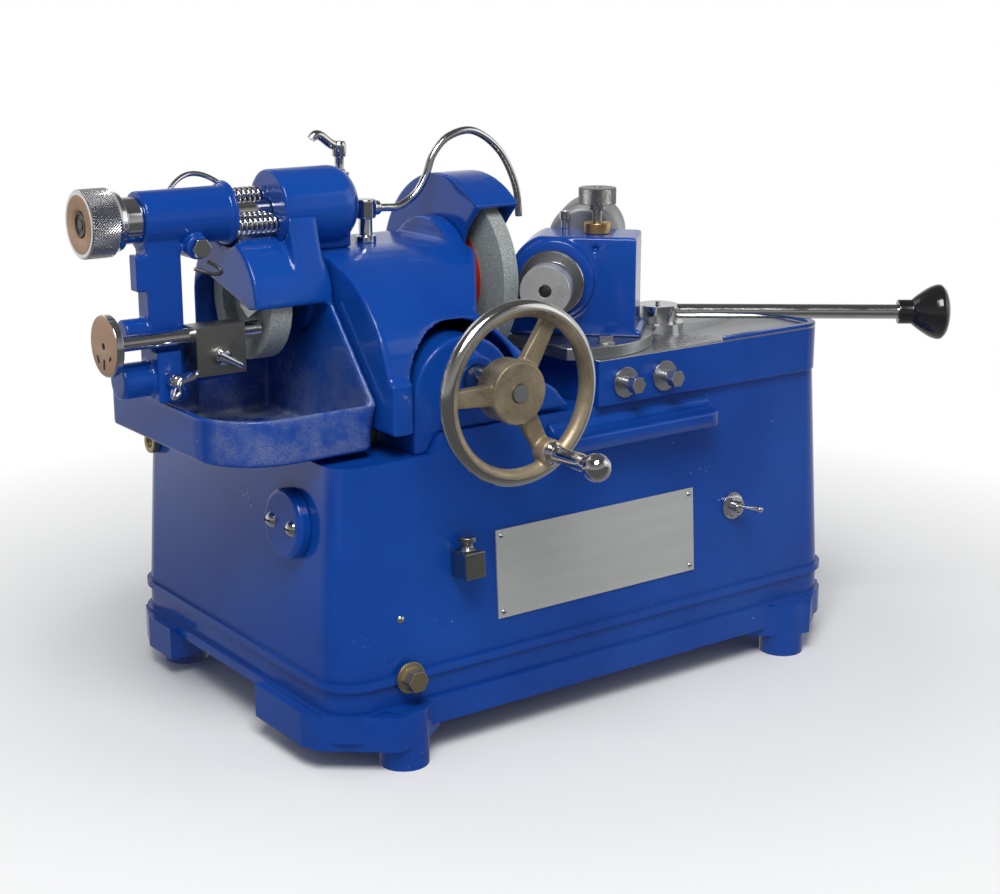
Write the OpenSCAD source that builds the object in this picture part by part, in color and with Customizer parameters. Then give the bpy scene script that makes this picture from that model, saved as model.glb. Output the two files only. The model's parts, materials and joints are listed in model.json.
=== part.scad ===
// Valve refacing grinder for a bench: a cast base, a grinding head on a cross slide with a wide
// wheel at the right and a cup wheel at the left, a table with a swivelling chuck head, and a
// stem end attachment over the cup wheel.
// X runs along the machine, Y to its back and Z up. The origin is on the bench, under the
// middle of the base. Millimetres.

/* [Base] */
// Length of the base at its top
base_l = 600; // [580:5:640]
// Width of the base at its top
base_w = 382; // [372:2:400]
// Height of the lower top at the left end
base_h = 284; // [270:2:310]
// Rise of the right hand deck over the lower top
deck_rise = 18; // [14:1:22]
// Thickness of the casting's walls
wall_t = 9; // [6:0.5:11]
// Diameter of a foot
foot_d = 46; // [38:1:50]
// Diameter of the tapped hole in a foot
foot_hole_d = 8; // [6:0.5:12]

/* [Grinding head] */
// Height of the spindle over the deck
spindle_h = 113; // [108:1:120]
// Diameter of the wide grinding wheel
wheel_d = 178; // [168:1:182]
// Thickness of the wide grinding wheel
wheel_t = 17; // [13:1:19]
// Diameter of the cup wheel
cup_d = 110; // [90:1:112]
// Thickness of the cup wheel
cup_t = 22; // [18:1:24]
// Diameter of the spindle housing
housing_d = 68; // [60:1:70]
// Diameter of the spindle between its bearings
spindle_d = 24; // [20:1:26]
// Sheet thickness of the head's cover and guards
cover_t = 6; // [4:0.5:7]
// Travel of the head to the front
feed_front = 2; // [1:0.5:3]
// Travel of the head to the back
feed_back = 40; // [20:1:42]

/* [Handwheel] */
// Outer diameter of the handwheel
handwheel_d = 167; // [150:1:175]
// Thickness of the round rim
rim_d = 16; // [12:1:18]
// Diameter of the feed screw
screw_d = 17.5; // [14:0.5:20]

/* [Table and lever] */
// Thickness of the table
table_h = 45.4; // [42:0.2:50]
// Travel of the table to the left
table_left = 3; // [2:0.5:4]
// Travel of the table to the right
table_right = 25; // [15:1:26]
// Reach of the lever from its hub to its knob
lever_l = 282; // [240:2:300]
// Diameter of the lever's rod
lever_d = 15; // [12:0.5:17]

/* [Chuck head] */
// Angle of the chuck to the machine's length
chuck_angle = 45; // [45:1:50]
// Diameter of the chuck's nose
nose_d = 48; // [42:1:50]
// Diameter of the hole in the collet
collet_bore_d = 12; // [8:0.5:14]
// Diameter of the knurled knob on top
clamp_knob_d = 37; // [30:1:40]

/* [Stem end attachment] */
// Diameter of the barrel
barrel_d = 50; // [46:1:52]
// Diameter of the micrometer knob
micrometer_d = 60; // [54:1:64]
// Diameter of the stop rod
stop_rod_d = 14; // [11:0.5:15]
// Turns of each return spring
spring_turns = 8; // [6:1:9]

/* [Hidden] */
$fn = 64;

// Clearances that every fit shares
run = 0.05;
slip = 0.3;
over = 2;
facets = 32;

// Heights and half sizes that everything else follows
deck_z = base_h + deck_rise;
half_l = base_l / 2;
half_w = base_w / 2;
spindle_z = deck_z + spindle_h;
spindle_y = -38.5;
table_z = deck_z + table_h;

// The casting leans out towards its foot
flare_share = 0.06;
wall_lean = atan(flare_share);
function side_x(z) = half_l + flare_share * (base_h - z);
function side_y(z) = half_w + flare_share * (base_h - z);

// Places along X, from the left end of the head's cover to the chuck head
cover_inset = 58;
cover_x0 = -half_l + cover_inset;
cover_l = 154;
cover_x1 = cover_x0 + cover_l;
hood_x0 = cover_x1;
hood_w = 48;
hood_x1 = hood_x0 + hood_w;
wheel_inset = 16;
wheel_x0 = hood_x0 + wheel_inset;
wheel_x1 = wheel_x0 + wheel_t;
table_gap = 45;
table_x0 = wheel_x1 + table_gap;
table_end_gap = 4;
table_x1 = half_l - table_end_gap;
swivel_gap = 71;
swivel_x = wheel_x1 + swivel_gap;
swivel_y = -97;
feed_inset = 82;
feed_x = cover_x0 + feed_inset;
feed_rise = 48;
feed_z = deck_z + feed_rise;

// Arcs for outlines, and outlines with round corners
function arc(cx, cy, r, a0, a1, n) =
    [for (i = [0 : n]) let (a = a0 + (a1 - a0) * i / n) [cx + r * cos(a), cy + r * sin(a)]];
corner_steps = 8;
function corner_box(x, y, r) = concat(
    arc(x - r, y - r, r, 0, 90, corner_steps),
    arc(r - x, y - r, r, 90, 180, corner_steps),
    arc(r - x, r - y, r, 180, 270, corner_steps),
    arc(x - r, r - y, r, 270, 360, corner_steps)
);

// A bar from one place to another along an axis
module bar_x(x0, x1, y, z, r) {
    translate([x0, y, z])
        rotate([0, 90, 0])
            cylinder(h = x1 - x0, r = r);
}
module bar_y(y0, y1, x, z, r) {
    translate([x, y0, z])
        rotate([-90, 0, 0])
            cylinder(h = y1 - y0, r = r);
}
module bar_z(z0, z1, x, y, r) {
    translate([x, y, z0])
        cylinder(h = z1 - z0, r = r);
}

// A block between two corners
module block(x0, x1, y0, y1, z0, z1) {
    translate([x0, y0, z0])
        cube([x1 - x0, y1 - y0, z1 - z0]);
}

// A slab of an outline, across X from (y, z), across Y from (x, z) or across Z from (x, y)
module slab_x(x0, x1) {
    translate([x0, 0, 0])
        rotate([90, 0, 90])
            linear_extrude(x1 - x0)
                children();
}
module slab_y(y0, y1) {
    translate([0, y1, 0])
        rotate([90, 0, 0])
            linear_extrude(y1 - y0)
                children();
}
module slab_z(z0, z1) {
    translate([0, 0, z0])
        linear_extrude(z1 - z0)
            children();
}

// A turned shape from an outline of (radius, place along the axis)
module turned_x(y, z) {
    translate([0, y, z])
        rotate([0, 90, 0])
            rotate_extrude()
                children();
}
module turned_y(x, z) {
    translate([x, 0, z])
        rotate([-90, 0, 0])
            rotate_extrude()
                children();
}

// A ring round the spindle's axis from one angle to another, counted from the back over the top
module spindle_arc(a0, a1) {
    translate([0, spindle_y, spindle_z])
        rotate([0, 90, 0])
            rotate([0, 0, a0 + 90])
                rotate_extrude(angle = a1 - a0)
                    children();
}

// A tube of rings along a path, each ring square to the path, with n sides
function unit(v) = v / norm(v);
function path_way(p, i) =
    unit(p[min(i + 1, len(p) - 1)] - p[max(i - 1, 0)]);
function ring_points(c, d, side, r, n) =
    let (u = unit(side - (side * d) * d), v = cross(d, u))
    [for (k = [0 : n - 1]) c + r * (cos(360 * k / n) * u + sin(360 * k / n) * v)];
function flat_list(rows) = [for (row = rows, p = row) p];
module tube(path, sides, r, n) {
    rings = [for (i = [0 : len(path) - 1])
        ring_points(path[i], path_way(path, i), sides[i], r, n)];
    last = (len(path) - 1) * n;
    faces = concat(
        [[for (k = [0 : n - 1]) k]],
        [for (i = [0 : len(path) - 2], k = [0 : n - 1], half = [0, 1])
            let (a = i * n + k, b = i * n + (k + 1) % n)
            half == 0 ? [a, a + n, b] : [b, a + n, b + n]],
        [[for (k = [n - 1 : -1 : 0]) last + k]]
    );
    polyhedron(points = flat_list(rings), faces = faces);
}

// A hexagon for bolt heads and nuts, from its size across the flats
module hexagon(flats) {
    circle(d = flats / cos(30), $fn = 6);
}

// Places on the leaning front wall and on the leaning left wall, with the outside at -Y and -X
module on_front(x, z) {
    translate([x, -side_y(z), z])
        rotate([-wall_lean, 0, 0])
            children();
}
module on_left(y, z) {
    translate([-side_x(z), y, z])
        rotate([0, wall_lean, 0])
            children();
}

// Places on the chuck head, turned about the swivel, with the spindle height as its zero
module on_workhead() {
    translate([swivel_x, swivel_y, spindle_z])
        rotate([0, 0, chuck_angle])
            children();
}

// The base: a leaning box with a floor, a bead, a skirt, four corner pads and four feet
corner_r = 24;
skirt_z = 31;
ledge_rise = 26;
ledge_z = skirt_z + ledge_rise;
bead_rise = 49;
bead_z = skirt_z + bead_rise;
bead_h = 7;
bead_out = 4;
skirt_out = 5;
floor_h = 8;
roof_h = 12;
pad_drop = 9;
pad_top = 2;
side_rise = 16;
skirt_x = side_x(bead_z) + skirt_out;
skirt_y = side_y(bead_z) + skirt_out;
front_pad_shares = [
    [1.03, 0.77], [1.012, 0.856], [0.824, 1.086], [0.752, 1.081], [0.626, 0.947],
    [0.626, 0.84], [0.84, 0.36], [1.03, 0.36]
];
back_pad_shares = [
    [1.03, 0.5], [1.03, 0.74], [0.99, 0.9], [0.9, 0.99], [0.72, 1.01], [0.63, 0.99],
    [0.63, 0.86], [0.82, 0.5]
];
front_foot_shares = [0.764, 0.976];
back_foot_shares = [0.896, 0.751];
side_cut_shares = [-0.36, 0.5];
step_slope = 11;
step_inset = 51;
step_x = cover_x0 + step_inset;
foot_hole_l = 25;
function cone_r(z) = corner_r + flare_share * (base_h - z);
module casting_block(z0, z1, inset) {
    hull()
        for (sx = [-1, 1], sy = [-1, 1])
            translate([sx * (half_l - corner_r), sy * (half_w - corner_r), z0])
                cylinder(h = z1 - z0, r1 = cone_r(z0) - inset, r2 = cone_r(z1) - inset, $fn = facets);
}
module casting_plate(z0, z1, out) {
    slab_z(z0, z1)
        polygon(corner_box(side_x(bead_z) + out, side_y(bead_z) + out, cone_r(bead_z) + out));
}
module corner_pad(sx, sy, shares) {
    slab_z(skirt_z - pad_drop, ledge_z - pad_top)
        polygon([for (p = shares) [sx * p[0] * skirt_x, sy * p[1] * skirt_y]]);
}
module each_foot() {
    for (sx = [-1, 1]) {
        translate([sx * front_foot_shares[0] * skirt_x, -front_foot_shares[1] * skirt_y, 0])
            children();
        translate([sx * back_foot_shares[0] * skirt_x, back_foot_shares[1] * skirt_y, 0])
            children();
    }
}
// The raised deck with its sloping step, from far below to above the base
module deck_outline(top) {
    polygon([
        [step_x - step_slope, base_h], [step_x, deck_z], [step_x, top], [base_l, top],
        [base_l, 0], [step_x - step_slope, 0]
    ]);
}
// The opening in the deck that the belt and the motor's leg pass through
belt_gap = 6;
belt_space = 54;
leg_x0 = cover_x1 - belt_space;
leg_t = 6;
pulley_gap = 4;
pulley_x0 = leg_x0 + leg_t + pulley_gap;
pulley_l = 24;
pulley_x1 = pulley_x0 + pulley_l;
pulley_r = 28;
belt_h = 4;
belt_w = 15;
opening_x0 = leg_x0 - belt_gap;
opening_x1 = pulley_x1 + belt_gap;
leg_w = 76;
opening_y0 = spindle_y - leg_w / 2 - feed_front - belt_gap;
opening_y1 = spindle_y + leg_w / 2 + feed_back + belt_gap;
module base_casting() {
    color("mediumblue")
        difference() {
            union() {
                difference() {
                    union() {
                        casting_block(bead_z + bead_h / 2, deck_z, 0);
                        casting_plate(bead_z, bead_z + bead_h, bead_out);
                        casting_plate(ledge_z, bead_z, 0);
                        casting_plate(skirt_z, ledge_z, skirt_out);
                    }
                    slab_y(-base_w, base_w)
                        difference() {
                            translate([-base_l, base_h])
                                square([base_l, base_h]);
                            deck_outline(base_l);
                        }
                    casting_block(ledge_z + floor_h, base_h - roof_h, wall_t);
                    block(step_x + wall_t, half_l - corner_r, corner_r - half_w, half_w - corner_r,
                        base_h - roof_h - over, deck_z - roof_h);
                    slab_z(0, ledge_z)
                        polygon(corner_box(side_x(bead_z) - wall_t, side_y(bead_z) - wall_t,
                            cone_r(bead_z) - wall_t));
                    block(-base_l, base_l, side_cut_shares[0] * skirt_y, side_cut_shares[1] * skirt_y,
                        0, skirt_z + side_rise);
                }
                for (sx = [-1, 1]) {
                    corner_pad(sx, -1, front_pad_shares);
                    corner_pad(sx, 1, back_pad_shares);
                }
                each_foot()
                    cylinder(h = ledge_z, d = foot_d);
            }
            block(opening_x0, opening_x1, opening_y0, opening_y1, base_h - roof_h - over, deck_z + over);
            each_foot()
                translate([0, 0, -over])
                    cylinder(h = foot_hole_l + over, d = foot_hole_d);
        }
}

// The round cover on the left wall, with two dome screws through it and a small plug above
cover_disc_r = 33;
cover_disc_t = 13;
end_cover_in = 73;
end_cover_y = -half_w + end_cover_in;
end_cover_drop = 63;
end_cover_z = base_h - end_cover_drop;
cover_edge = 3;
module end_cover() {
    color("mediumblue")
        on_left(end_cover_y, end_cover_z)
            rotate([0, -90, 0])
                rotate_extrude()
                    polygon([
                        [0, 0], [cover_disc_r, 0], [cover_disc_r, cover_disc_t - cover_edge],
                        [cover_disc_r - cover_edge, cover_disc_t], [0, cover_disc_t]
                    ]);
}

// The name plate, left bare, on the front wall
plate_in = 176.5;
plate_l = base_l - 2 * plate_in;
plate_h = 86;
plate_t = 2;
plate_x = -10.5;
plate_rise = 28.5;
plate_z = bead_z + bead_h + plate_rise + plate_h / 2;
module nameplate() {
    color("silver")
        on_front(plate_x, plate_z)
            translate([-plate_l / 2, -plate_t, -plate_h / 2])
                cube([plate_l, plate_t, plate_h]);
}

// Round head screws on the end cover, and small ones at the plate's corners and on the front wall
dome_r = 7.5;
dome_h = 5;
cover_screw_share = 0.54;
plate_screw_r = 2.6;
plate_screw_h = 1.6;
plate_screw_in = 6;
wall_screw_r = 4;
wall_screw_h = 2.5;
wall_screw_in = 58;
wall_screw_x = -half_l + wall_screw_in;
wall_screw_drop = 146;
module dome(r, h) {
    cap_r = (r * r + h * h) / (2 * h);
    intersection() {
        translate([0, 0, h - cap_r])
            sphere(cap_r);
        cylinder(h = h, r = r);
    }
}
module panel_screws() {
    color("lightgrey") {
        for (side = [-1, 1])
            on_left(end_cover_y + side * cover_screw_share * cover_disc_r, end_cover_z)
                translate([-cover_disc_t, 0, 0])
                    rotate([0, -90, 0])
                        dome(dome_r, dome_h);
        for (sx = [-1, 1], sz = [-1, 1])
            on_front(plate_x, plate_z)
                translate([sx * (plate_l / 2 - plate_screw_in), -plate_t,
                    sz * (plate_h / 2 - plate_screw_in)])
                    rotate([90, 0, 0])
                        dome(plate_screw_r, plate_screw_h);
        on_front(wall_screw_x, base_h - wall_screw_drop)
            rotate([90, 0, 0])
                dome(wall_screw_r, wall_screw_h);
    }
}

// The round plug near the back of the left wall
plug_r = 12;
plug_h = 8;
plug_in = 25;
plug_y = half_w - plug_in;
plug_drop = 46;
module wall_plug() {
    color("lightgrey")
        on_left(plug_y, base_h - plug_drop)
            rotate([0, -90, 0])
                difference() {
                    cylinder(h = plug_h, r = plug_r);
                    translate([0, 0, plug_h / 2])
                        linear_extrude(plug_h)
                            hexagon(plug_r);
                }
}

// The drain plug of the coolant sump, a hexagon head on a washer low on the front wall
drain_in = 62;
drain_x = -half_l + drain_in;
drain_washer_r = 15;
drain_washer_h = 3;
drain_flats = 19;
drain_h = 13;
module drain_plug() {
    color("darkkhaki")
        translate([drain_x, -side_y(bead_z) - bead_out, bead_z + bead_h / 2])
            rotate([90, 0, 0]) {
                cylinder(h = drain_washer_h, r = drain_washer_r);
                translate([0, 0, drain_washer_h])
                    linear_extrude(drain_h)
                        hexagon(drain_flats);
            }
}

// The switch on the front wall: a round base, a nut and a threaded neck
switch_in = 132;
switch_x = half_l - switch_in;
switch_drop = 111;
switch_z = base_h - switch_drop;
switch_base_r = 14;
switch_base_h = 2.5;
switch_nut_flats = 20;
switch_nut_h = 5;
switch_neck_r = 7;
switch_neck_h = 12;
toggle_ball_r = 3.5;
toggle_l = 26;
toggle_tip_r = 3.4;
toggle_root_r = 1.6;
toggle_lean = 18;
switch_pivot = switch_neck_h - toggle_ball_r - slip;
module on_switch() {
    on_front(switch_x, switch_z)
        rotate([90, 0, 0])
            children();
}
module switch_body() {
    color("lightgrey")
        on_switch()
            difference() {
                union() {
                    cylinder(h = switch_base_h, r = switch_base_r);
                    translate([0, 0, switch_base_h])
                        linear_extrude(switch_nut_h)
                            hexagon(switch_nut_flats);
                    cylinder(h = switch_neck_h, r = switch_neck_r);
                }
                translate([0, 0, switch_pivot])
                    sphere(toggle_ball_r + slip);
                translate([0, 0, switch_pivot])
                    cylinder(h = switch_neck_h, r1 = toggle_ball_r, r2 = toggle_l / 2);
            }
}
module toggle_lever() {
    color("lightgrey")
        on_switch()
            translate([0, 0, switch_pivot])
                rotate([0, toggle_lean, 0]) {
                    sphere(toggle_ball_r);
                    cylinder(h = toggle_l, r1 = toggle_root_r, r2 = toggle_tip_r);
                    translate([0, 0, toggle_l])
                        sphere(toggle_tip_r);
                }
}

// The bright oiler on the front wall: a square block with a waisted cap
oiler_in = 126;
oiler_x = -half_l + oiler_in;
oiler_drop = 104;
oiler_w = 22;
oiler_deep = 25;
oiler_high = 25;
cap_h = 13;
cap_r = 8;
waist_share = 0.62;
module oiler_block() {
    color("lightgrey")
        on_front(oiler_x, base_h - oiler_drop)
            union() {
                translate([-oiler_w / 2, -oiler_deep, -oiler_high / 2])
                    cube([oiler_w, oiler_deep, oiler_high]);
                translate([0, -oiler_deep / 2, oiler_high / 2])
                    rotate_extrude()
                        polygon([
                            [0, 0], [cap_r, 0], [cap_r * waist_share, cap_h * waist_share / 2],
                            [cap_r * waist_share, cap_h * waist_share], [cap_r, cap_h * waist_share],
                            [cap_r, cap_h], [0, cap_h]
                        ]);
            }
}

// The way that the head slides on: a foot that follows the deck's step, and a dovetail
bed_inset = 17;
bed_x0 = cover_x0 + bed_inset;
bed_l = 75;
bed_x1 = bed_x0 + bed_l;
bed_y1 = 110;
bed_h = 12;
tail_h = 12;
tail_in = 8;
bed_z = deck_z + bed_h;
tail_z = bed_z + tail_h;
bracket_l = 66;
bracket_in = 5;
bracket_y0 = -half_w + bracket_in;
bracket_y1 = bracket_y0 + bracket_l;
module slide_bed() {
    color("grey")
        slab_y(bracket_y1, bed_y1)
            difference() {
                polygon([
                    [bed_x0, base_h], [bed_x1, base_h], [bed_x1, bed_z], [bed_x1 - tail_in, bed_z],
                    [bed_x1, tail_z], [bed_x0, tail_z], [bed_x0 + tail_in, bed_z], [bed_x0, bed_z]
                ]);
                deck_outline(deck_z);
            }
}

// The bearing block of the feed screw at the front of the deck, with a round top and a neck
bracket_r = 55;
bracket_top = 86;
neck_r = 23;
neck_l = 20;
module feed_bracket() {
    color("mediumblue")
        difference() {
            union() {
                slab_y(bracket_y0, bracket_y1)
                    difference() {
                        polygon(concat(
                            arc(feed_x, deck_z + bracket_top - bracket_r, bracket_r, 0, 180, facets / 2),
                            [[feed_x - bracket_r, base_h], [feed_x + bracket_r, base_h]]
                        ));
                        deck_outline(deck_z);
                    }
                bar_y(bracket_y0 - neck_l, bracket_y0, feed_x, feed_z, neck_r);
            }
            bar_y(bracket_y0 - neck_l - over, bracket_y1 + over, feed_x, feed_z,
                screw_d / 2 + run);
        }
}

// The shelf along the front wall that catches drips, with a round right end
lip_x0 = -70;
lip_x1 = 132;
lip_out = 34;
lip_drop = 3;
lip_rise = 9;
lip_edge = 5;
lip_h = 13;
lip_r = 22;
function lip_wall(z) = -side_y(z);
module drip_lip() {
    color("mediumblue")
        intersection() {
            slab_x(lip_x0, lip_x1)
                polygon([
                    [lip_wall(base_h - lip_h), base_h - lip_h],
                    [-half_w - lip_out + lip_edge, base_h - lip_h - lip_drop],
                    [-half_w - lip_out, base_h - lip_drop - lip_edge],
                    [-half_w - lip_out, base_h + lip_drop - lip_edge / 2],
                    [-half_w - lip_edge * 2, base_h + lip_drop],
                    [-half_w - lip_edge, base_h + lip_rise],
                    [lip_wall(base_h + lip_rise), base_h + lip_rise]
                ]);
            slab_z(base_h - lip_out, base_h + lip_out)
                polygon(concat(
                    [[lip_x0, 0], [lip_x0, -half_w - lip_out]],
                    arc(lip_x1 - lip_r, -half_w - lip_out + lip_r, lip_r, -90, 0, corner_steps),
                    [[lip_x1, 0]]
                ));
        }
}

// The table's way and the rack beside it, screwed to the deck inside the table
way_inset = 40;
way_l = 116;
rack_l = 170;
way_x0 = table_x0 + way_inset;
way_x1 = way_x0 + way_l;
rack_x1 = way_x0 + rack_l;
way_w = 34;
way_h = 18;
way_y = -35;
rack_y0 = -75;
rack_w = 12;
rack_h = 14;
rack_teeth = 24;
tooth_share = 0.45;
tooth_h = 2;
module table_ways() {
    color("grey") {
        block(way_x0, way_x1, way_y - way_w / 2, way_y + way_w / 2, deck_z, deck_z + way_h);
        difference() {
            block(way_x0, rack_x1, rack_y0, rack_y0 + rack_w, deck_z, deck_z + rack_h);
            for (i = [0 : rack_teeth - 1])
                let (pitch = rack_l / rack_teeth)
                translate([way_x0 + (i + tooth_share / 2) * pitch, rack_y0 - over, deck_z - over])
                    cube([pitch * tooth_share, tooth_h + over, rack_h + 2 * over]);
        }
    }
}

// The coolant pump on the floor of the base, and the inlet for the supply cable at the back
pump_x = 150;
pump_y = 90;
pump_base = 90;
pump_base_h = 14;
pump_r = 34;
pump_h = 90;
pump_neck_r = 9;
pump_neck_h = 20;
floor_z = ledge_z + floor_h;
module coolant_pump() {
    color("dimgrey")
        union() {
            block(pump_x - pump_base / 2, pump_x + pump_base / 2, pump_y - pump_base / 2,
                pump_y + pump_base / 2, floor_z, floor_z + pump_base_h);
            bar_z(floor_z, floor_z + pump_h, pump_x, pump_y, pump_r);
            bar_z(floor_z, floor_z + pump_h + pump_neck_h, pump_x, pump_y, pump_neck_r);
        }
}
gland_x = 190;
gland_rise = 40;
gland_flats = 24;
gland_h = 8;
gland_r = 9;
gland_l = 20;
gland_bore_r = 4.5;
module cable_gland() {
    color("black")
        translate([gland_x, side_y(bead_z + gland_rise), bead_z + gland_rise])
            rotate([wall_lean, 0, 0])
                rotate([-90, 0, 0])
                    difference() {
                        union() {
                            linear_extrude(gland_h)
                                hexagon(gland_flats);
                            cylinder(h = gland_l, r = gland_r);
                        }
                        translate([0, 0, gland_h / 2])
                            cylinder(h = gland_l, r = gland_bore_r);
                    }
}

// The head's saddle: jaws round the dovetail, and a leg that hangs down to carry the motor
saddle_x0 = cover_x0 + cover_t;
saddle_x1 = leg_x0 + leg_t;
saddle_gap = 20;
saddle_y0 = bracket_y1 + saddle_gap;
saddle_y1 = 60;
saddle_t = 14;
saddle_z = tail_z + saddle_t;
motor_r = 60;
motor_l = 144;
motor_drop = 112;
motor_z = deck_z - motor_drop;
leg_drop = 40;
shaft_r = 8;
module saddle() {
    color("grey")
        difference() {
            union() {
                slab_y(saddle_y0, saddle_y1)
                    difference() {
                        polygon([
                            [saddle_x0, bed_z + slip], [saddle_x1 - leg_t, bed_z + slip],
                            [saddle_x1 - leg_t, saddle_z], [saddle_x0, saddle_z]
                        ]);
                        polygon([
                            [bed_x0 + tail_in - slip, bed_z], [bed_x1 - tail_in + slip, bed_z],
                            [bed_x1 + slip, tail_z], [bed_x0 - slip, tail_z]
                        ]);
                    }
                block(leg_x0, leg_x0 + leg_t, spindle_y - leg_w / 2, spindle_y + leg_w / 2,
                    motor_z - leg_drop, saddle_z);
            }
            bar_x(leg_x0 - over, leg_x0 + leg_t + over, spindle_y, motor_z, shaft_r + slip);
        }
}

// The spindle housing on its pedestal, with a seat for a bearing at each end
housing_out = 13;
housing_x0 = cover_x0 - housing_out;
housing_gap = 8;
housing_x1 = pulley_x0 - housing_gap;
bearing_w = 15;
bearing_wall = 9;
housing_bore_wall = 3;
spindle_r = spindle_d / 2;
bearing_r = spindle_r + bearing_wall;
pedestal_x0 = cover_x0 + cover_t + over;
pedestal_l = 44;
pedestal_w = 43;
module spindle_housing() {
    color("mediumblue")
        difference() {
            union() {
                bar_x(housing_x0, housing_x1, spindle_y, spindle_z, housing_d / 2);
                block(pedestal_x0, pedestal_x0 + pedestal_l, spindle_y - pedestal_w / 2,
                    spindle_y + pedestal_w / 2, saddle_z, spindle_z);
            }
            bar_x(housing_x0 - over, housing_x1 + over, spindle_y, spindle_z,
                spindle_r + housing_bore_wall);
            bar_x(housing_x0 - over, housing_x0 + bearing_w, spindle_y, spindle_z, bearing_r);
            bar_x(housing_x1 - bearing_w, housing_x1 + over, spindle_y, spindle_z, bearing_r);
        }
}
module spindle_bearings() {
    color("silver")
        for (x = [housing_x0, housing_x1 - bearing_w])
            difference() {
                bar_x(x, x + bearing_w, spindle_y, spindle_z, bearing_r);
                bar_x(x - over, x + bearing_w + over, spindle_y, spindle_z, spindle_r + run);
            }
}

// The cover over the spindle housing and the belt: a quarter round front, a flat top, an arch
// round the feed screw's bearing block, and a round neck where it meets the wheel's hood
cover_rise = 42;
cover_top = spindle_z + cover_rise;
cover_low = 4;
cover_z0 = deck_z + cover_low;
cover_front_in = 1;
cover_y0 = -half_w + cover_front_in;
cover_r = 130;
cover_back_r = 60;
cover_flat = 70;
cover_y1 = cover_y0 + cover_r + cover_flat + cover_back_r;
arch_gap = 6;
arch_top_drop = 57;
arch_r = bracket_r + arch_gap;
arch_z = cover_top - arch_top_drop - arch_r;
neck_out = 62;
neck_w = 18;
apron_pad = 4;
apron_h = 46;
right_leg_l = 48;
right_leg_h = 39;
right_leg_cut = 18;
spindle_hole_gap = 4;
bed_notch = 3;
scoop_l = 62;
scoop_w = 88;
scoop_low = 54;
scoop_wall_share = 1.3;
// The cut through the cover's right front corner that shows the wide wheel's face, grown by t
module cover_scoop(t) {
    intersection() {
        slab_z(cover_z0, cover_top + over)
            polygon([
                [cover_x1 - scoop_l - t, cover_y0 - over], [cover_x1 - t, cover_y0 + scoop_w],
                [cover_x1 + over, cover_y0 + scoop_w], [cover_x1 + over, cover_y0 - over]
            ]);
        slab_y(cover_y0 - over, cover_y0 + scoop_w)
            polygon([
                [cover_x1 + over, spindle_z - scoop_low - t - over],
                [cover_x1 - scoop_l - over - t, spindle_z - scoop_low - t + scoop_l + t],
                [cover_x1 - scoop_l - over - t, cover_top + over], [cover_x1 + over, cover_top + over]
            ]);
    }
}
function cover_section(t) = concat(
    [[cover_y0 + t, cover_z0 - over * sign(t)]],
    arc(cover_y0 + cover_r, cover_top - cover_r, cover_r - t, 180, 90, facets / 2),
    arc(cover_y1 - cover_back_r, cover_top - cover_back_r, cover_back_r - t, 90, 0, facets / 4),
    [[cover_y1 - t, cover_z0 - over * sign(t)]]
);
module wheelhead_cover() {
    color("mediumblue")
        difference() {
            union() {
                slab_x(cover_x0, cover_x1)
                    polygon(cover_section(0));
                bar_x(cover_x1 - neck_w, cover_x1, spindle_y, spindle_z, neck_out);
                slab_y(cover_y0, cover_y0 + cover_t)
                    polygon([
                        [cover_x1 - over, cover_z0], [cover_x1 + right_leg_l, cover_z0],
                        [cover_x1 + right_leg_l - right_leg_cut, cover_z0 + right_leg_h - right_leg_cut],
                        [cover_x1 - over, cover_z0 + right_leg_h]
                    ]);
                slab_x(cover_x0, arch_x0)
                    polygon([
                        [cover_y0, cover_z0], [cover_y0, cover_z0 + apron_h + apron_pad],
                        [cover_y0 - apron_pad, cover_z0 + apron_h], [cover_y0 - apron_pad, cover_z0]
                    ]);
            }
            cover_scoop(0);
            difference() {
                slab_x(cover_x0 + cover_t, cover_x1 - cover_t)
                    polygon(cover_section(cover_t));
                cover_scoop(cover_t * scoop_wall_share);
            }
            bar_x(cover_x1 - neck_w + cover_t, cover_x1 - cover_t, spindle_y, spindle_z,
                neck_out - cover_t);
            bar_y(cover_y0 - apron_pad - over, spindle_y, feed_x, arch_z, arch_r);
            block(feed_x - arch_r, feed_x + arch_r, cover_y0 - apron_pad - over, spindle_y,
                cover_z0 - over, arch_z);
            block(saddle_x0, bed_x1 + bed_notch, cover_y1 - cover_t - over, cover_y1 + over,
                cover_z0 - over, tail_z + bed_notch);
            bar_x(cover_x0 - over, cover_x0 + cover_t + over, spindle_y, spindle_z,
                housing_d / 2);
            bar_x(cover_x1 - cover_t - over, cover_x1 + over, spindle_y, spindle_z,
                spindle_r + spindle_hole_gap);
        }
}
arch_x0 = feed_x - arch_r;

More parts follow.
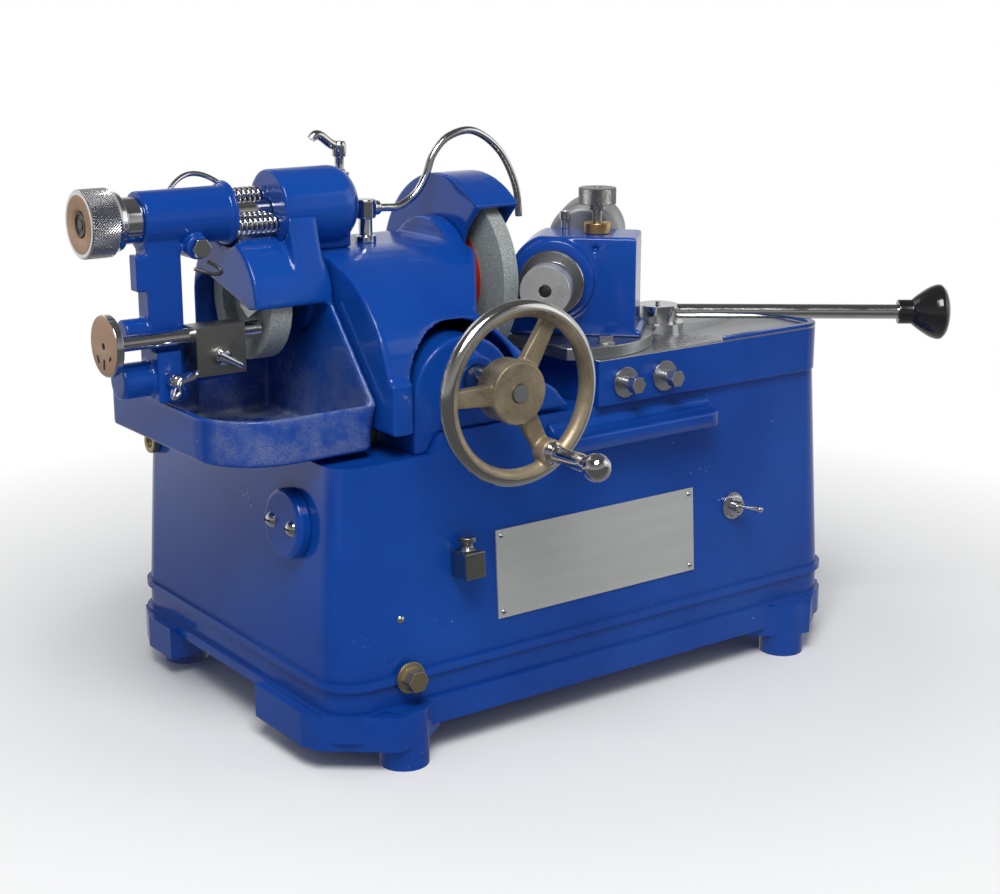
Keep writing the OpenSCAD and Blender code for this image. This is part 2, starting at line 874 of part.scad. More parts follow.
// The hood over the wide wheel: a rim, a left wall with its front edge, and a narrow right flange
hood_out = 13;
hood_r = wheel_d / 2 + hood_out;
hood_t = 5;
hood_flange = 30;
hood_wall = 40;
hood_inset = 0.5;
hood_back = -25;
hood_front = 132;
hood_edge_shares = [
    [-0.583, 0.716], [-0.505, 0.627], [-0.397, 0.353], [-0.377, -0.294], [0.55, -0.294],
    [0.85, 0.1], [0.7, 0.55], [0, 0.8]
];
module main_guard() {
    color("mediumblue")
        difference() {
            union() {
                spindle_arc(hood_back, hood_front)
                    polygon([
                        [hood_r - hood_wall, hood_x0], [hood_r, hood_x0], [hood_r, hood_x1],
                        [hood_r - hood_flange, hood_x1], [hood_r - hood_flange, hood_x1 - hood_t],
                        [hood_r - hood_t, hood_x1 - hood_t], [hood_r - hood_t, hood_x0 + cover_t],
                        [hood_r - hood_wall, hood_x0 + cover_t]
                    ]);
                slab_x(hood_x0 + hood_inset, hood_x0 + cover_t - hood_inset)
                    polygon([for (p = hood_edge_shares)
                        [spindle_y + p[0] * hood_r, spindle_z + p[1] * hood_r]]);
            }
            bar_x(hood_x0 - over, hood_x0 + cover_t + over, spindle_y, spindle_z,
                spindle_r + spindle_hole_gap);
        }
}

// The cup wheel's place, left of the housing
cup_gap = 25;
backplate_t = 4;
backplate_r = 46;
cup_x1 = housing_x0 - cup_gap - backplate_t;
cup_x0 = cup_x1 - cup_t;

// The boss above the housing that carries the stem end attachment, and the rods and springs in it
boss_rise = 82;
boss_y = -44;
boss_z = spindle_z + boss_rise;
boss_r = 36;
boss_gap = 1;
boss_x0 = cup_x1 + backplate_t + boss_gap;
boss_l = 89;
boss_x1 = boss_x0 + boss_l;
boss_dome = 24;
boss_dome_step = 15;
boss_foot_in = 4;
boss_foot_x0 = cover_x0 + boss_foot_in;
boss_foot_l = 38;
boss_foot_w = 46;
rod_r = 8.5;
rod_in = 40;
rod_out = 122;
pin_r = 5;
pin_y = 15;
pin_z = -11;
pin_in = 20;
spring_l = 43;
flange_x1 = boss_x0 - spring_l;
pin_gap = 6;
module attachment_boss() {
    color("mediumblue")
        difference() {
            union() {
                turned_x(boss_y, boss_z)
                    polygon(concat(
                        [[0, boss_x0], [boss_r, boss_x0]],
                        [for (a = [0 : boss_dome_step : 90])
                            [boss_r * cos(a), boss_x1 - boss_dome + boss_dome * sin(a)]]
                    ));
                block(boss_foot_x0, boss_foot_x0 + boss_foot_l, cover_y0 + cover_r,
                    cover_y0 + cover_r + boss_foot_w, cover_top, boss_z);
            }
            bar_x(boss_x0 - over, boss_x0 + rod_in, boss_y, boss_z, rod_r);
            for (side = [-1, 1])
                bar_x(boss_x0 - over, boss_x0 + pin_in, boss_y + side * pin_y,
                    boss_z + side * -pin_z, pin_r);
        }
}
module guide_rods() {
    color("lightgrey") {
        bar_x(boss_x0 - rod_out, boss_x0 + rod_in, boss_y, boss_z, rod_r);
        for (side = [-1, 1])
            bar_x(flange_x1 + pin_gap, boss_x0 + pin_in, boss_y + side * pin_y,
                boss_z + side * -pin_z, pin_r);
    }
}

// Each return spring is one tube: a straight end, the turns, and a straight end
spring_r = 8;
wire_r = 1.3;
turn_rings = 8;
wire_sides = 6;
spring_steps = spring_turns * turn_rings;
spring_end = 2 * wire_r;
spring_pitch = (spring_l - 2 * spring_end) / spring_turns;
function spring_turn(i) = 360 * i / turn_rings;
function spring_side(i) = [0, cos(spring_turn(i)), sin(spring_turn(i))];
spring_path = concat(
    [[0, spring_r, 0]],
    [for (i = [0 : spring_steps])
        [spring_end + spring_pitch * i / turn_rings, 0, 0] + spring_r * spring_side(i)],
    [[spring_l, spring_r, 0]]
);
spring_sides = concat(
    [spring_side(0)],
    [for (i = [0 : spring_steps]) spring_side(i)],
    [spring_side(0)]
);
spring_clear = min([for (i = [0 : spring_steps - turn_rings], j = [-1 : 1])
    norm(spring_path[i + 1] - spring_path[min(i + 1 + turn_rings + j, spring_steps + 1)])])
    - 2 * wire_r;
echo(spring_clear = spring_clear);
module return_springs() {
    color("lightgrey")
        for (side = [-1, 1])
            translate([flange_x1, boss_y + side * pin_y, boss_z + side * -pin_z])
                tube(spring_path, spring_sides, wire_r, wire_sides);
}

// The guard round the cup wheel and the tray below it
guard_gap = 2;
guard_t = 5;
guard_r = cup_d / 2 + guard_gap + guard_t;
guard_out = 18;
guard_x0 = cup_x0 - guard_out;
guard_lap = 10;
guard_x1 = housing_x0 + guard_lap;
tray_reach = 71;
tray_x0 = guard_x0 - tray_reach;
tray_front_in = 21;
tray_y0 = -half_w + tray_front_in;
tray_y1 = 60;
tray_rise = 7;
tray_z0 = base_h + tray_rise;
tray_h = 42;
tray_z1 = tray_z0 + tray_h;
tray_r = 60;
tray_small_r = 15;
arch_shares = [[0.89, 0.19], [0.64, 0.37], [0.09, 0.21], [-0.72, -0.02]];
pillar_l = 30;
function tray_outline(t) = concat(
    arc(tray_x0 + tray_r, tray_y0 + tray_r, tray_r - t, 180, 270, corner_steps),
    arc(guard_x1 - tray_small_r, tray_y0 + tray_small_r, tray_small_r - t, 270, 360, corner_steps),
    [[guard_x1 - t, tray_y1 - t], [tray_x0 + t, tray_y1 - t]]
);
module guard_shell() {
    slab_x(guard_x0, guard_x1)
        difference() {
            polygon(concat(
                arc(spindle_y, spindle_z, guard_r, 0, 180, facets),
                [[spindle_y - guard_r + guard_t, spindle_z], [spindle_y + guard_r - guard_t, tray_z0],
                    [spindle_y + guard_r, tray_z0]]
            ));
            polygon(concat(
                arc(spindle_y, spindle_z, guard_r - guard_t, 0, 180, facets),
                [[spindle_y - guard_r, spindle_z - over], [spindle_y - guard_r, tray_z0 - over],
                    [spindle_y + guard_r - guard_t, tray_z0 - over]]
            ));
        }
}
module left_guard() {
    color("mediumblue")
        difference() {
            union() {
                guard_shell();
                slab_x(guard_x0, guard_x0 + guard_t)
                    polygon(concat(
                        arc(spindle_y, spindle_z, guard_r, 0, 180, facets),
                        [for (i = [len(arch_shares) - 1 : -1 : 0])
                            [spindle_y + arch_shares[i][0] * guard_r,
                                spindle_z + arch_shares[i][1] * guard_r]],
                        [[spindle_y + guard_r - guard_t, spindle_z],
                            [spindle_y + guard_r - guard_t, tray_z0], [spindle_y + guard_r, tray_z0]]
                    ));
                slab_x(guard_x1 - guard_t, guard_x1)
                    polygon(concat(
                        arc(spindle_y, spindle_z, guard_r, 0, 180, facets),
                        [[tray_y0, tray_z1], [tray_y0 + tray_small_r, tray_z0],
                            [spindle_y + guard_r, tray_z0]]
                    ));
                slab_x(boss_x0, boss_x0 + pillar_l)
                    polygon([
                        [boss_y - boss_r, boss_z], [spindle_y - guard_r, spindle_z + guard_t],
                        [spindle_y - guard_r, spindle_z], [spindle_y, spindle_z], [boss_y, boss_z]
                    ]);
                difference() {
                    slab_z(tray_z0, tray_z1)
                        polygon(tray_outline(0));
                    slab_z(tray_z0 + guard_t, tray_z1 + over)
                        polygon(tray_outline(guard_t));
                }
            }
            bar_x(guard_x0 + guard_t, guard_x1 - guard_t, spindle_y, spindle_z, guard_r - guard_t);
            bar_x(guard_x0 - over, flange_x1 + guard_t, boss_y, boss_z, barrel_flange_r + guard_gap);
            bar_x(boss_x0, guard_x1 + over, boss_y, boss_z, boss_r);
            bar_x(guard_x1 - guard_t - over, guard_x1 + over, spindle_y, spindle_z, housing_d / 2);
        }
}

// The nut on the saddle that the feed screw turns in
nut_w = 30;
nut_y0 = saddle_y0;
nut_l = 28;
nut_h = 30;
module feed_nut() {
    color("peru")
        difference() {
            block(feed_x - nut_w / 2, feed_x + nut_w / 2, nut_y0, nut_y0 + nut_l, saddle_z,
                saddle_z + nut_h);
            bar_y(nut_y0 - over, nut_y0 + nut_l + over, feed_x, feed_z, screw_d / 2 + run);
        }
}

// The motor inside the base, its shaft and pulley, and the belt up to the spindle's pulley
motor_end = 12;
motor_end_r = 52;
shaft_in = 30;
shaft_out = 3;
pulley_flange = 3;
pulley_flange_t = 4;
module drive_motor() {
    color("dimgrey")
        difference() {
            turned_x(spindle_y, motor_z)
                polygon([
                    [0, leg_x0 - motor_l], [motor_end_r, leg_x0 - motor_l],
                    [motor_r, leg_x0 - motor_l + motor_end], [motor_r, leg_x0 - motor_end],
                    [motor_end_r, leg_x0], [0, leg_x0]
                ]);
            bar_x(leg_x0 - shaft_in, leg_x0 + over, spindle_y, motor_z, shaft_r + run);
        }
}
module pulley_outline(bore) {
    polygon([
        [bore, pulley_x0], [pulley_r + pulley_flange, pulley_x0],
        [pulley_r + pulley_flange, pulley_x0 + pulley_flange_t],
        [pulley_r, pulley_x0 + pulley_flange_t], [pulley_r, pulley_x1 - pulley_flange_t],
        [pulley_r + pulley_flange, pulley_x1 - pulley_flange_t],
        [pulley_r + pulley_flange, pulley_x1], [bore, pulley_x1]
    ]);
}
module spindle_pulley() {
    color("grey")
        turned_x(spindle_y, spindle_z)
            pulley_outline(spindle_r);
}
module motor_pulley() {
    color("grey")
        union() {
            turned_x(spindle_y, motor_z)
                pulley_outline(0);
            bar_x(leg_x0 - shaft_in, pulley_x1 + shaft_out, spindle_y, motor_z, shaft_r);
        }
}
function belt_outline(r) = concat(
    arc(spindle_y, spindle_z, r, 0, 180, facets),
    arc(spindle_y, motor_z, r, 180, 360, facets)
);
belt_in = (pulley_l - belt_w) / 2;
module drive_belt() {
    color("black")
        slab_x(pulley_x0 + belt_in, pulley_x1 - belt_in)
            difference() {
                polygon(belt_outline(pulley_r + slip + belt_h));
                polygon(belt_outline((pulley_r + slip) / cos(90 / facets)));
            }
}

// The spindle, stepped down at both ends, and what is clamped on it
spindle_end_r = 10;
cup_recess = 12;
cup_recess_r = 38;
cup_nut_h = 6;
flange_t = 4;
flange_r = 32;
outer_flange_t = 5;
nut_flats = 30;
wheel_nut_h = 12;
thread_out = 2;
module spindle() {
    color("silver")
        turned_x(spindle_y, spindle_z)
            polygon([
                [0, cup_x0 + cup_recess - cup_nut_h - thread_out],
                [spindle_end_r, cup_x0 + cup_recess - cup_nut_h - thread_out],
                [spindle_end_r, cup_x1], [spindle_r, cup_x1], [spindle_r, wheel_x0 - flange_t],
                [spindle_end_r, wheel_x0 - flange_t],
                [spindle_end_r, wheel_x1 + outer_flange_t + wheel_nut_h + thread_out],
                [0, wheel_x1 + outer_flange_t + wheel_nut_h + thread_out]
            ]);
}
module grinding_wheel() {
    color("slategray")
        turned_x(spindle_y, spindle_z)
            polygon([
                [spindle_end_r, wheel_x0], [wheel_d / 2, wheel_x0], [wheel_d / 2, wheel_x1],
                [spindle_end_r, wheel_x1]
            ]);
}
module cup_wheel() {
    color("slategray")
        turned_x(spindle_y, spindle_z)
            polygon([
                [spindle_end_r, cup_x1], [cup_d / 2, cup_x1], [cup_d / 2, cup_x0],
                [cup_recess_r, cup_x0], [cup_recess_r, cup_x0 + cup_recess],
                [spindle_end_r, cup_x0 + cup_recess]
            ]);
}
module flange_ring(x0, x1, bore, r) {
    turned_x(spindle_y, spindle_z)
        polygon([[bore, x0], [r, x0], [r, x1], [bore, x1]]);
}
module spindle_nut(x0, h) {
    difference() {
        translate([x0, spindle_y, spindle_z])
            rotate([0, 90, 0])
                linear_extrude(h)
                    hexagon(nut_flats);
        bar_x(x0 - over, x0 + h + over, spindle_y, spindle_z, spindle_end_r);
    }
}
module wheel_clamps() {
    color("silver") {
        flange_ring(cup_x1, cup_x1 + backplate_t, spindle_r, backplate_r);
        flange_ring(wheel_x0 - flange_t, wheel_x0, spindle_end_r, flange_r);
        flange_ring(wheel_x1, wheel_x1 + outer_flange_t, spindle_end_r, flange_r);
        spindle_nut(wheel_x1 + outer_flange_t, wheel_nut_h);
        spindle_nut(cup_x0 + cup_recess - cup_nut_h, cup_nut_h);
    }
}

// The coolant fittings on the cover: a post with a side port, and a valve behind the boss
post_inset = 70;
post_x = cover_x0 + post_inset;
post_in = 150;
post_y = cover_y0 + post_in;
post_r = 6.5;
spigot_r = 4;
post_head_r = 10;
post_head_h = 18;
port_rise = 32;
port_r = 7;
port_l = 15;
port_z = cover_top + port_rise;
module coolant_post() {
    color("lightgrey")
        union() {
            bar_z(cover_top, port_z - post_head_h / 2 - slip, post_x, post_y, post_r);
            bar_z(cover_top, cover_top + post_r, post_x, post_y, post_head_r);
            bar_z(cover_top, port_z, post_x, post_y, spigot_r);
        }
}
valve_inset = 68;
valve_x = cover_x0 + valve_inset;
valve_in = 192;
valve_y = cover_y0 + valve_in;
valve_pipe_r = 7;
valve_h = 46;
valve_nut_flats = 17;
valve_nut_h = 10;
valve_collar_r = 9.5;
valve_collar_h = 7;
stem_r = 4.7;
stem_h = 30;
stem_in = 10;
grip_hub_r = 8;
grip_hub_h = 16;
grip_l = 26;
grip_rise = 12;
grip_r = 4.5;
module coolant_valve() {
    color("lightgrey")
        difference() {
            union() {
                bar_z(cover_top, cover_top + valve_h, valve_x, valve_y, valve_pipe_r);
                translate([valve_x, valve_y, cover_top + valve_h])
                    linear_extrude(valve_nut_h)
                        hexagon(valve_nut_flats);
                bar_z(cover_top + valve_h + valve_nut_h, cover_top + valve_h + valve_nut_h + valve_collar_h,
                    valve_x, valve_y, valve_collar_r);
            }
            bar_z(valve_top - stem_in, valve_top + over, valve_x, valve_y, stem_r + run);
        }
}
valve_top = cover_top + valve_h + valve_nut_h + valve_collar_h;
module valve_handle() {
    color("lightgrey")
        union() {
            bar_z(valve_top - stem_in, valve_top + stem_h, valve_x, valve_y, stem_r);
            bar_z(valve_top + stem_h - grip_hub_h, valve_top + stem_h, valve_x, valve_y, grip_hub_r);
            hull() {
                translate([valve_x, valve_y, valve_top + stem_h - grip_hub_r])
                    sphere(grip_r, $fn = facets);
                translate([valve_x - grip_l, valve_y, valve_top + stem_h + grip_rise - grip_hub_r])
                    sphere(grip_r, $fn = facets);
            }
        }
}

// The goose neck: a bent tube through chosen places, smoothed, on a head that turns on the post
neck_reach = 182;
neck_rise = 69;
neck_r_tube = 4;
neck_tube_sides = 10;
neck_steps = 4;
neck_shares = [
    [0.04, 0], [0.12, -0.01], [0.213, -0.005], [0.319, 0.152], [0.384, 0.397], [0.428, 0.667],
    [0.515, 0.887], [0.644, 0.981], [0.753, 0.899], [0.865, 0.668], [0.943, 0.355],
    [0.988, 0.029], [1, -0.31]
];
neck_knots = [for (p = neck_shares) [p[0] * neck_reach, 0, p[1] * neck_rise]];
function blend(a, b, c, d, t) =
    (2 * b + (c - a) * t + (2 * a - 5 * b + 4 * c - d) * t * t + (3 * b - a - 3 * c + d) * t * t * t) / 2;
neck_path = [for (i = [1 : len(neck_knots) - 3], k = [0 : neck_steps - 1])
    blend(neck_knots[i - 1], neck_knots[i], neck_knots[i + 1], neck_knots[i + 2], k / neck_steps)];
neck_whole = concat([neck_knots[0]], neck_path, [neck_knots[len(neck_knots) - 2],
    neck_knots[len(neck_knots) - 1]]);
module gooseneck() {
    color("lightgrey")
        translate([post_x, post_y, port_z])
            difference() {
                union() {
                    translate([0, 0, -post_head_h / 2])
                        cylinder(h = post_head_h, r = post_head_r);
                    rotate([0, 90, 0])
                        cylinder(h = port_l, r = port_r);
                    tube(neck_whole, [for (p = neck_whole) [0, 1, 0]], neck_r_tube, neck_tube_sides);
                }
                translate([0, 0, -post_head_h / 2 - over])
                    cylinder(h = post_head_h / 2 + over + slip, r = spigot_r + run);
            }
}

// The handwheel: a round rim, three flat spokes, a broad hub and a sleeve, bored for the feed screw
rim_out = 78;
rim_y = -half_w - rim_out;
rim_r = (handwheel_d - rim_d) / 2;
hub_r = 28.5;
hub_out = 1;
hub_depth = 26;
hub_sleeve_r = 17;
hub_y1 = bracket_y0 - neck_l - slip;
spoke_w = 22;
spoke_tip_w = 15;
spoke_t = 9;
spoke_in = 3;
spoke_angles = [-61.6, 58.4, 178.4];
crank_share = 0.85;
crank_r = rim_r * crank_share;
screw_out = 1.5;
screw_end_r = 8;
module on_handwheel() {
    translate([feed_x, 0, feed_z])
        children();
}
module handwheel() {
    color("tan")
        difference() {
            union() {
                turned_y(feed_x, feed_z)
                    translate([rim_r, rim_y])
                        circle(d = rim_d);
                on_handwheel()
                    slab_y(rim_y + spoke_in, rim_y + spoke_in + spoke_t)
                        for (a = spoke_angles)
                            rotate(a)
                                polygon([
                                    [0, -spoke_w / 2], [rim_r - rim_d / 4, -spoke_tip_w / 2],
                                    [rim_r - rim_d / 4, spoke_tip_w / 2], [0, spoke_w / 2]
                                ]);
                bar_y(rim_y - hub_out, rim_y + hub_depth, feed_x, feed_z, hub_r);
                bar_y(rim_y, hub_y1, feed_x, feed_z, hub_sleeve_r);
                on_handwheel()
                    rotate([0, -spoke_angles[0], 0])
                        bar_y(rim_y - spoke_t, rim_y + spoke_in + spoke_t / 2, crank_r, 0, crank_boss_r);
            }
            bar_y(rim_y - rim_d, hub_y1 + over, feed_x, feed_z, screw_end_r);
        }
}
crank_boss_r = 12;
crank_l = 60;
crank_neck_r = 7;
crank_mid_r = 10.5;
crank_body_r = 8.2;
crank_ball_r = 12.8;
crank_waist_share = 0.55;
crank_neck_share = 0.8;
module crank_handle() {
    color("lightgrey")
        on_handwheel()
            rotate([0, -spoke_angles[0], 0])
                translate([crank_r, rim_y - spoke_t, 0])
                    rotate([90, 0, 0])
                        union() {
                            rotate_extrude()
                                polygon([
                                    [0, 0], [crank_mid_r, 0], [crank_mid_r, crank_neck_r / 2],
                                    [crank_neck_r, crank_neck_r], [crank_body_r, crank_l * crank_waist_share],
                                    [crank_neck_r, crank_l * crank_neck_share],
                                    [crank_neck_r, crank_l], [0, crank_l]
                                ]);
                            translate([0, 0, crank_l])
                                sphere(crank_ball_r);
                        }
}
screw_y1 = nut_y0 + nut_l + feed_back + over;
module feed_screw() {
    color("silver")
        union() {
            bar_y(rim_y - hub_out - screw_out, hub_y1, feed_x, feed_z, screw_end_r);
            bar_y(hub_y1, screw_y1, feed_x, feed_z, screw_d / 2);
        }
}

// The table: a thick plate with a round front corner and a cut back corner, hollowed for its way,
// the rack and the pinion
table_out = 5;
table_y0 = -half_w - table_out;
table_y1 = -5;
table_r = 25;
table_cut_l = 130;
table_cut_w = 95;
hub_gap = 126;
hub_x = swivel_x + hub_gap;
hub_y = -105;
pinion_r = 30;
pinion_h = 12;
pinion_rise = 2;
pinion_z = deck_z + pinion_rise;
pinion_shaft_r = 10;
travel_gap = 3;
pocket_x0 = way_x0 - table_right - travel_gap;
pocket_x1 = way_x1 + table_left + travel_gap;
rack_pocket_x1 = rack_x1 + table_left + travel_gap;
pocket_top = 20;
// A low curb runs along the right part of its front edge and round the front corner
curb_w = 8;
curb_h = 4;
curb_in = 158;
curb_x0 = table_x0 + curb_in;
module table() {
    color("mediumblue")
        difference() {
            slab_z(deck_z, table_z + curb_h)
                polygon(concat(
                    [[table_x0, table_y1], [table_x0, table_y0]],
                    arc(table_x1 - table_r, table_y0 + table_r, table_r, -90, 0, corner_steps),
                    [[table_x1, table_y1 - table_cut_w], [table_x1 - table_cut_l, table_y1]]
                ));
            slab_z(table_z, table_z + curb_h + over)
                polygon(concat(
                    [[table_x0 - over, table_y0 - over], [curb_x0, table_y0 - over],
                        [curb_x0 + curb_w, table_y0 + curb_w]],
                    arc(table_x1 - table_r, table_y0 + table_r, table_r - curb_w, -90, 0, corner_steps),
                    [[table_x1 - curb_w, table_y1 - table_cut_w], [table_x1 + over, table_y1 - table_cut_w],
                        [table_x1 + over, table_y1 + over], [table_x0 - over, table_y1 + over]]
                ));
            block(pocket_x0, pocket_x1, way_y - way_w / 2 - slip, way_y + way_w / 2 + slip,
                deck_z - over, deck_z + way_h + slip);
            block(pocket_x0, rack_pocket_x1, hub_y - pinion_r - over, rack_y0 + rack_w + slip,
                deck_z - over, deck_z + pocket_top);
            bar_z(deck_z, table_z + over, hub_x, hub_y, pinion_shaft_r + run);
        }
}

// Hexagon bolts with washers: two through the table's front, one that holds the swivel plate
bolt_xs = [31.6, 81.5];
bolt_rise = 21;
washer_r = 15;
washer_h = 3;
bolt_flats = 15;
bolt_neck_r = 5.5;
bolt_neck_l = 9;
bolt_head_h = 10;
clamp_x = 3;
clamp_y = 80;
clamp_flats = 13;
clamp_h = 6;
clamp_washer_r = 9;
clamp_washer_h = 1.5;
swivel_t = 12;
plate_top = table_z + swivel_t;
module table_bolts() {
    color("silver") {
        for (x = bolt_xs)
            translate([table_x0 + x, table_y0, deck_z + bolt_rise])
                rotate([90, 0, 0]) {
                    cylinder(h = washer_h, r = washer_r);
                    cylinder(h = washer_h + bolt_neck_l, r = bolt_neck_r);
                    translate([0, 0, washer_h + bolt_neck_l])
                        linear_extrude(bolt_head_h)
                            hexagon(bolt_flats);
                }
        translate([swivel_x - clamp_x, swivel_y - clamp_y, plate_top]) {
            cylinder(h = clamp_washer_h, r = clamp_washer_r);
            translate([0, 0, clamp_washer_h])
                linear_extrude(clamp_h)
                    hexagon(clamp_flats);
        }
    }
}

// The swivel plate on the table, a disc with flats towards the wheel and the front
swivel_r = 95;
swivel_left = 51;
module swivel_plate() {
    color("silver")
        difference() {
            bar_z(table_z, plate_top, swivel_x, swivel_y, swivel_r);
            block(swivel_x - swivel_r - over, swivel_x - swivel_left, swivel_y - swivel_r - over,
                swivel_y + swivel_r + over, table_z - over, plate_top + over);
        }
}

// The lever: a hub over a flange, and a rod; its knob; and the pinion below the table
lever_hub_r = 20.5;
lever_flange_r = 27;
lever_flange_h = 8;
lever_hub_h = 26;
lever_rise = 18.6;
lever_angle = -37.4;
knob_collar_r = 12.5;
knob_collar_l = 15;
knob_r = 28.5;
knob_l = 34;
knob_x0 = lever_l - knob_l;
knob_shares = [
    [0.44, 0], [0.6, 0.15], [0.84, 0.42], [0.97, 0.64], [1, 0.78], [0.98, 0.86], [0.85, 0.97],
    [0.6, 1.06], [0.3, 1.1], [0, 1.11]
];
knob_pin_r = 3;
module on_lever() {
    translate([hub_x, hub_y, table_z])
        rotate([0, 0, lever_angle])
            children();
}
module feed_lever() {
    color("silver")
        on_lever()
            union() {
                cylinder(h = lever_flange_h, r = lever_flange_r);
                cylinder(h = lever_hub_h, r = lever_hub_r);
                cylinder(h = lever_hub_h + knob_pin_r, r = knob_pin_r);
                bar_x(0, knob_x0, 0, lever_rise, lever_d / 2);
            }
}
module lever_knob() {
    color("black")
        on_lever()
            turned_x(0, lever_rise)
                polygon(concat(
                    [[0, knob_x0], [knob_collar_r, knob_x0], [knob_collar_r, knob_x0 + knob_collar_l]],
                    [for (p = knob_shares) [knob_r * p[0], knob_x0 + knob_collar_l + knob_l * p[1]]]
                ));
}
pinion_teeth = 28;
module lever_pinion() {
    color("silver")
        translate([hub_x, hub_y, 0])
            difference() {
                union() {
                    bar_z(pinion_z, pinion_z + pinion_h, 0, 0, pinion_r - slip);
                    bar_z(pinion_z, table_z, 0, 0, pinion_shaft_r);
                }
                for (i = [0 : pinion_teeth - 1])
                    rotate([0, 0, 360 * i / pinion_teeth])
                        block(pinion_r - slip - tooth_h, pinion_r + over, -tooth_h / 2, tooth_h / 2,
                            pinion_z - over, pinion_z + pinion_h + over);
            }
}

// The chuck head: a block with a round shoulder over the chuck, a boss in front and a foot below
foot_z0 = plate_top - spindle_z + run;
foot_h = 6.6;
foot_z1 = foot_z0 + foot_h;
shoulder_r = 45;
shoulder_turn = 10;
head_x0 = -30;
head_x1 = 38;
head_y0 = -80;
head_top = 42;
head_boss_l = 7;
head_boss_r = 40;
head_foot_out = 6;
chuck_r = 18;
set_y = -40;
set_z = 31;
set_r = 3.5;
set_deep = 5;
bush_x = 1.5;
bush_y = -38.4;
bush_r = 13;
bush_h = 11;
knob_stem_r = 4.75;
knob_stem_in = 15;
chuck_wall = 2;
module workhead_housing() {
    color("mediumblue")
        on_workhead()
            difference() {
                union() {
                    slab_x(head_x0, head_x1)
                        polygon(concat(
                            [[shoulder_r * cos(shoulder_turn), foot_z1]],
                            arc(0, 0, shoulder_r, -shoulder_turn, asin(head_top / shoulder_r), corner_steps),
                            [[head_y0, head_top], [head_y0, foot_z1]]
                        ));
                    bar_x(head_x0 - head_boss_l, head_x0, 0, 0, head_boss_r);
                    block(head_x0, head_x1 + head_foot_out, head_y0 - head_foot_out,
                        shoulder_r * cos(shoulder_turn), foot_z0, foot_z1);
                }
                bar_x(head_x0 - head_boss_l - over, head_x1 - chuck_wall, 0, 0, chuck_r + run);
                bar_x(head_x0 - over, head_x0 + set_deep, set_y, set_z, set_r);
                bar_z(head_top - knob_stem_in, head_top + over, bush_x, bush_y, knob_stem_r + run);
            }
}
module brass_bush() {
    color("goldenrod")
        on_workhead()
            difference() {
                bar_z(head_top, head_top + bush_h, bush_x, bush_y, bush_r);
                bar_z(head_top - over, head_top + bush_h + over, bush_x, bush_y, knob_stem_r + run);
            }
}
cup_x = 30;
cup_y = -3;
oil_r = 5;
oil_h = 18;
oil_neck_r = 3.5;
module oil_cup() {
    color("lightgrey")
        on_workhead()
            union() {
                bar_z(head_top, head_top + oil_h / 2, cup_x, cup_y, oil_neck_r);
                bar_z(head_top + oil_h / 2, head_top + oil_h, cup_x, cup_y, oil_r);
            }
}
small_motor_r = 36;
small_motor_y = -20.8;
small_motor_z = 30;
small_motor_l = 88;
small_motor_edge = 6;
module chuck_motor() {
    color("silver")
        on_workhead()
            turned_x(small_motor_y, small_motor_z)
                polygon([
                    [0, head_x1], [small_motor_r - small_motor_edge, head_x1],
                    [small_motor_r, head_x1 + small_motor_edge],
                    [small_motor_r, head_x1 + small_motor_l - small_motor_edge],
                    [small_motor_r - small_motor_edge, head_x1 + small_motor_l],
                    [0, head_x1 + small_motor_l]
                ]);
}
nose_x0 = -99;
nose_l = 28;
nose_neck_r = 19;
ring_r = 30;
ring_t = 8;
ring_x1 = head_x0 - head_boss_l - slip;
ring_x0 = ring_x1 - ring_t;
collet_r = 13;
collet_l = 44;
chuck_end = 2;
module chuck_spindle() {
    color("silver")
        on_workhead()
            turned_x(0, 0)
                polygon([
                    [0, nose_x0 + collet_l], [collet_r, nose_x0 + collet_l], [collet_r, nose_x0],
                    [nose_d / 2, nose_x0], [nose_d / 2, nose_x0 + nose_l], [nose_neck_r, ring_x0],
                    [ring_r, ring_x0], [ring_r, ring_x1], [chuck_r, ring_x1],
                    [chuck_r, head_x1 - chuck_wall - chuck_end], [0, head_x1 - chuck_wall - chuck_end]
                ]);
}
module chuck_collet() {
    color("grey")
        on_workhead()
            difference() {
                bar_x(nose_x0, nose_x0 + collet_l, 0, 0, collet_r);
                bar_x(nose_x0 - over, nose_x0 + collet_l + over, 0, 0, collet_bore_d / 2);
            }
}
knob_rise = 23;
knob_collar = 6;
knob_collar_out = 8;
knurl_h = 16;
knob_dish = 2;
module clamp_knob() {
    color("dimgrey")
        on_workhead()
            translate([bush_x, bush_y, 0])
                rotate_extrude()
                    polygon([
                        [0, head_top - knob_stem_in + slip], [knob_stem_r, head_top - knob_stem_in + slip],
                        [knob_stem_r, head_top + knob_rise], [knob_collar_out, head_top + knob_rise],
                        [knob_collar_out, head_top + knob_rise + knob_collar],
                        [clamp_knob_d / 2, head_top + knob_rise + knob_collar],
                        [clamp_knob_d / 2, head_top + knob_rise + knob_collar + knurl_h],
                        [knob_stem_r, head_top + knob_rise + knob_collar + knurl_h],
                        [knob_stem_r, head_top + knob_rise + knob_collar + knurl_h - knob_dish],
                        [0, head_top + knob_rise + knob_collar + knurl_h - knob_dish]
                    ]);
}

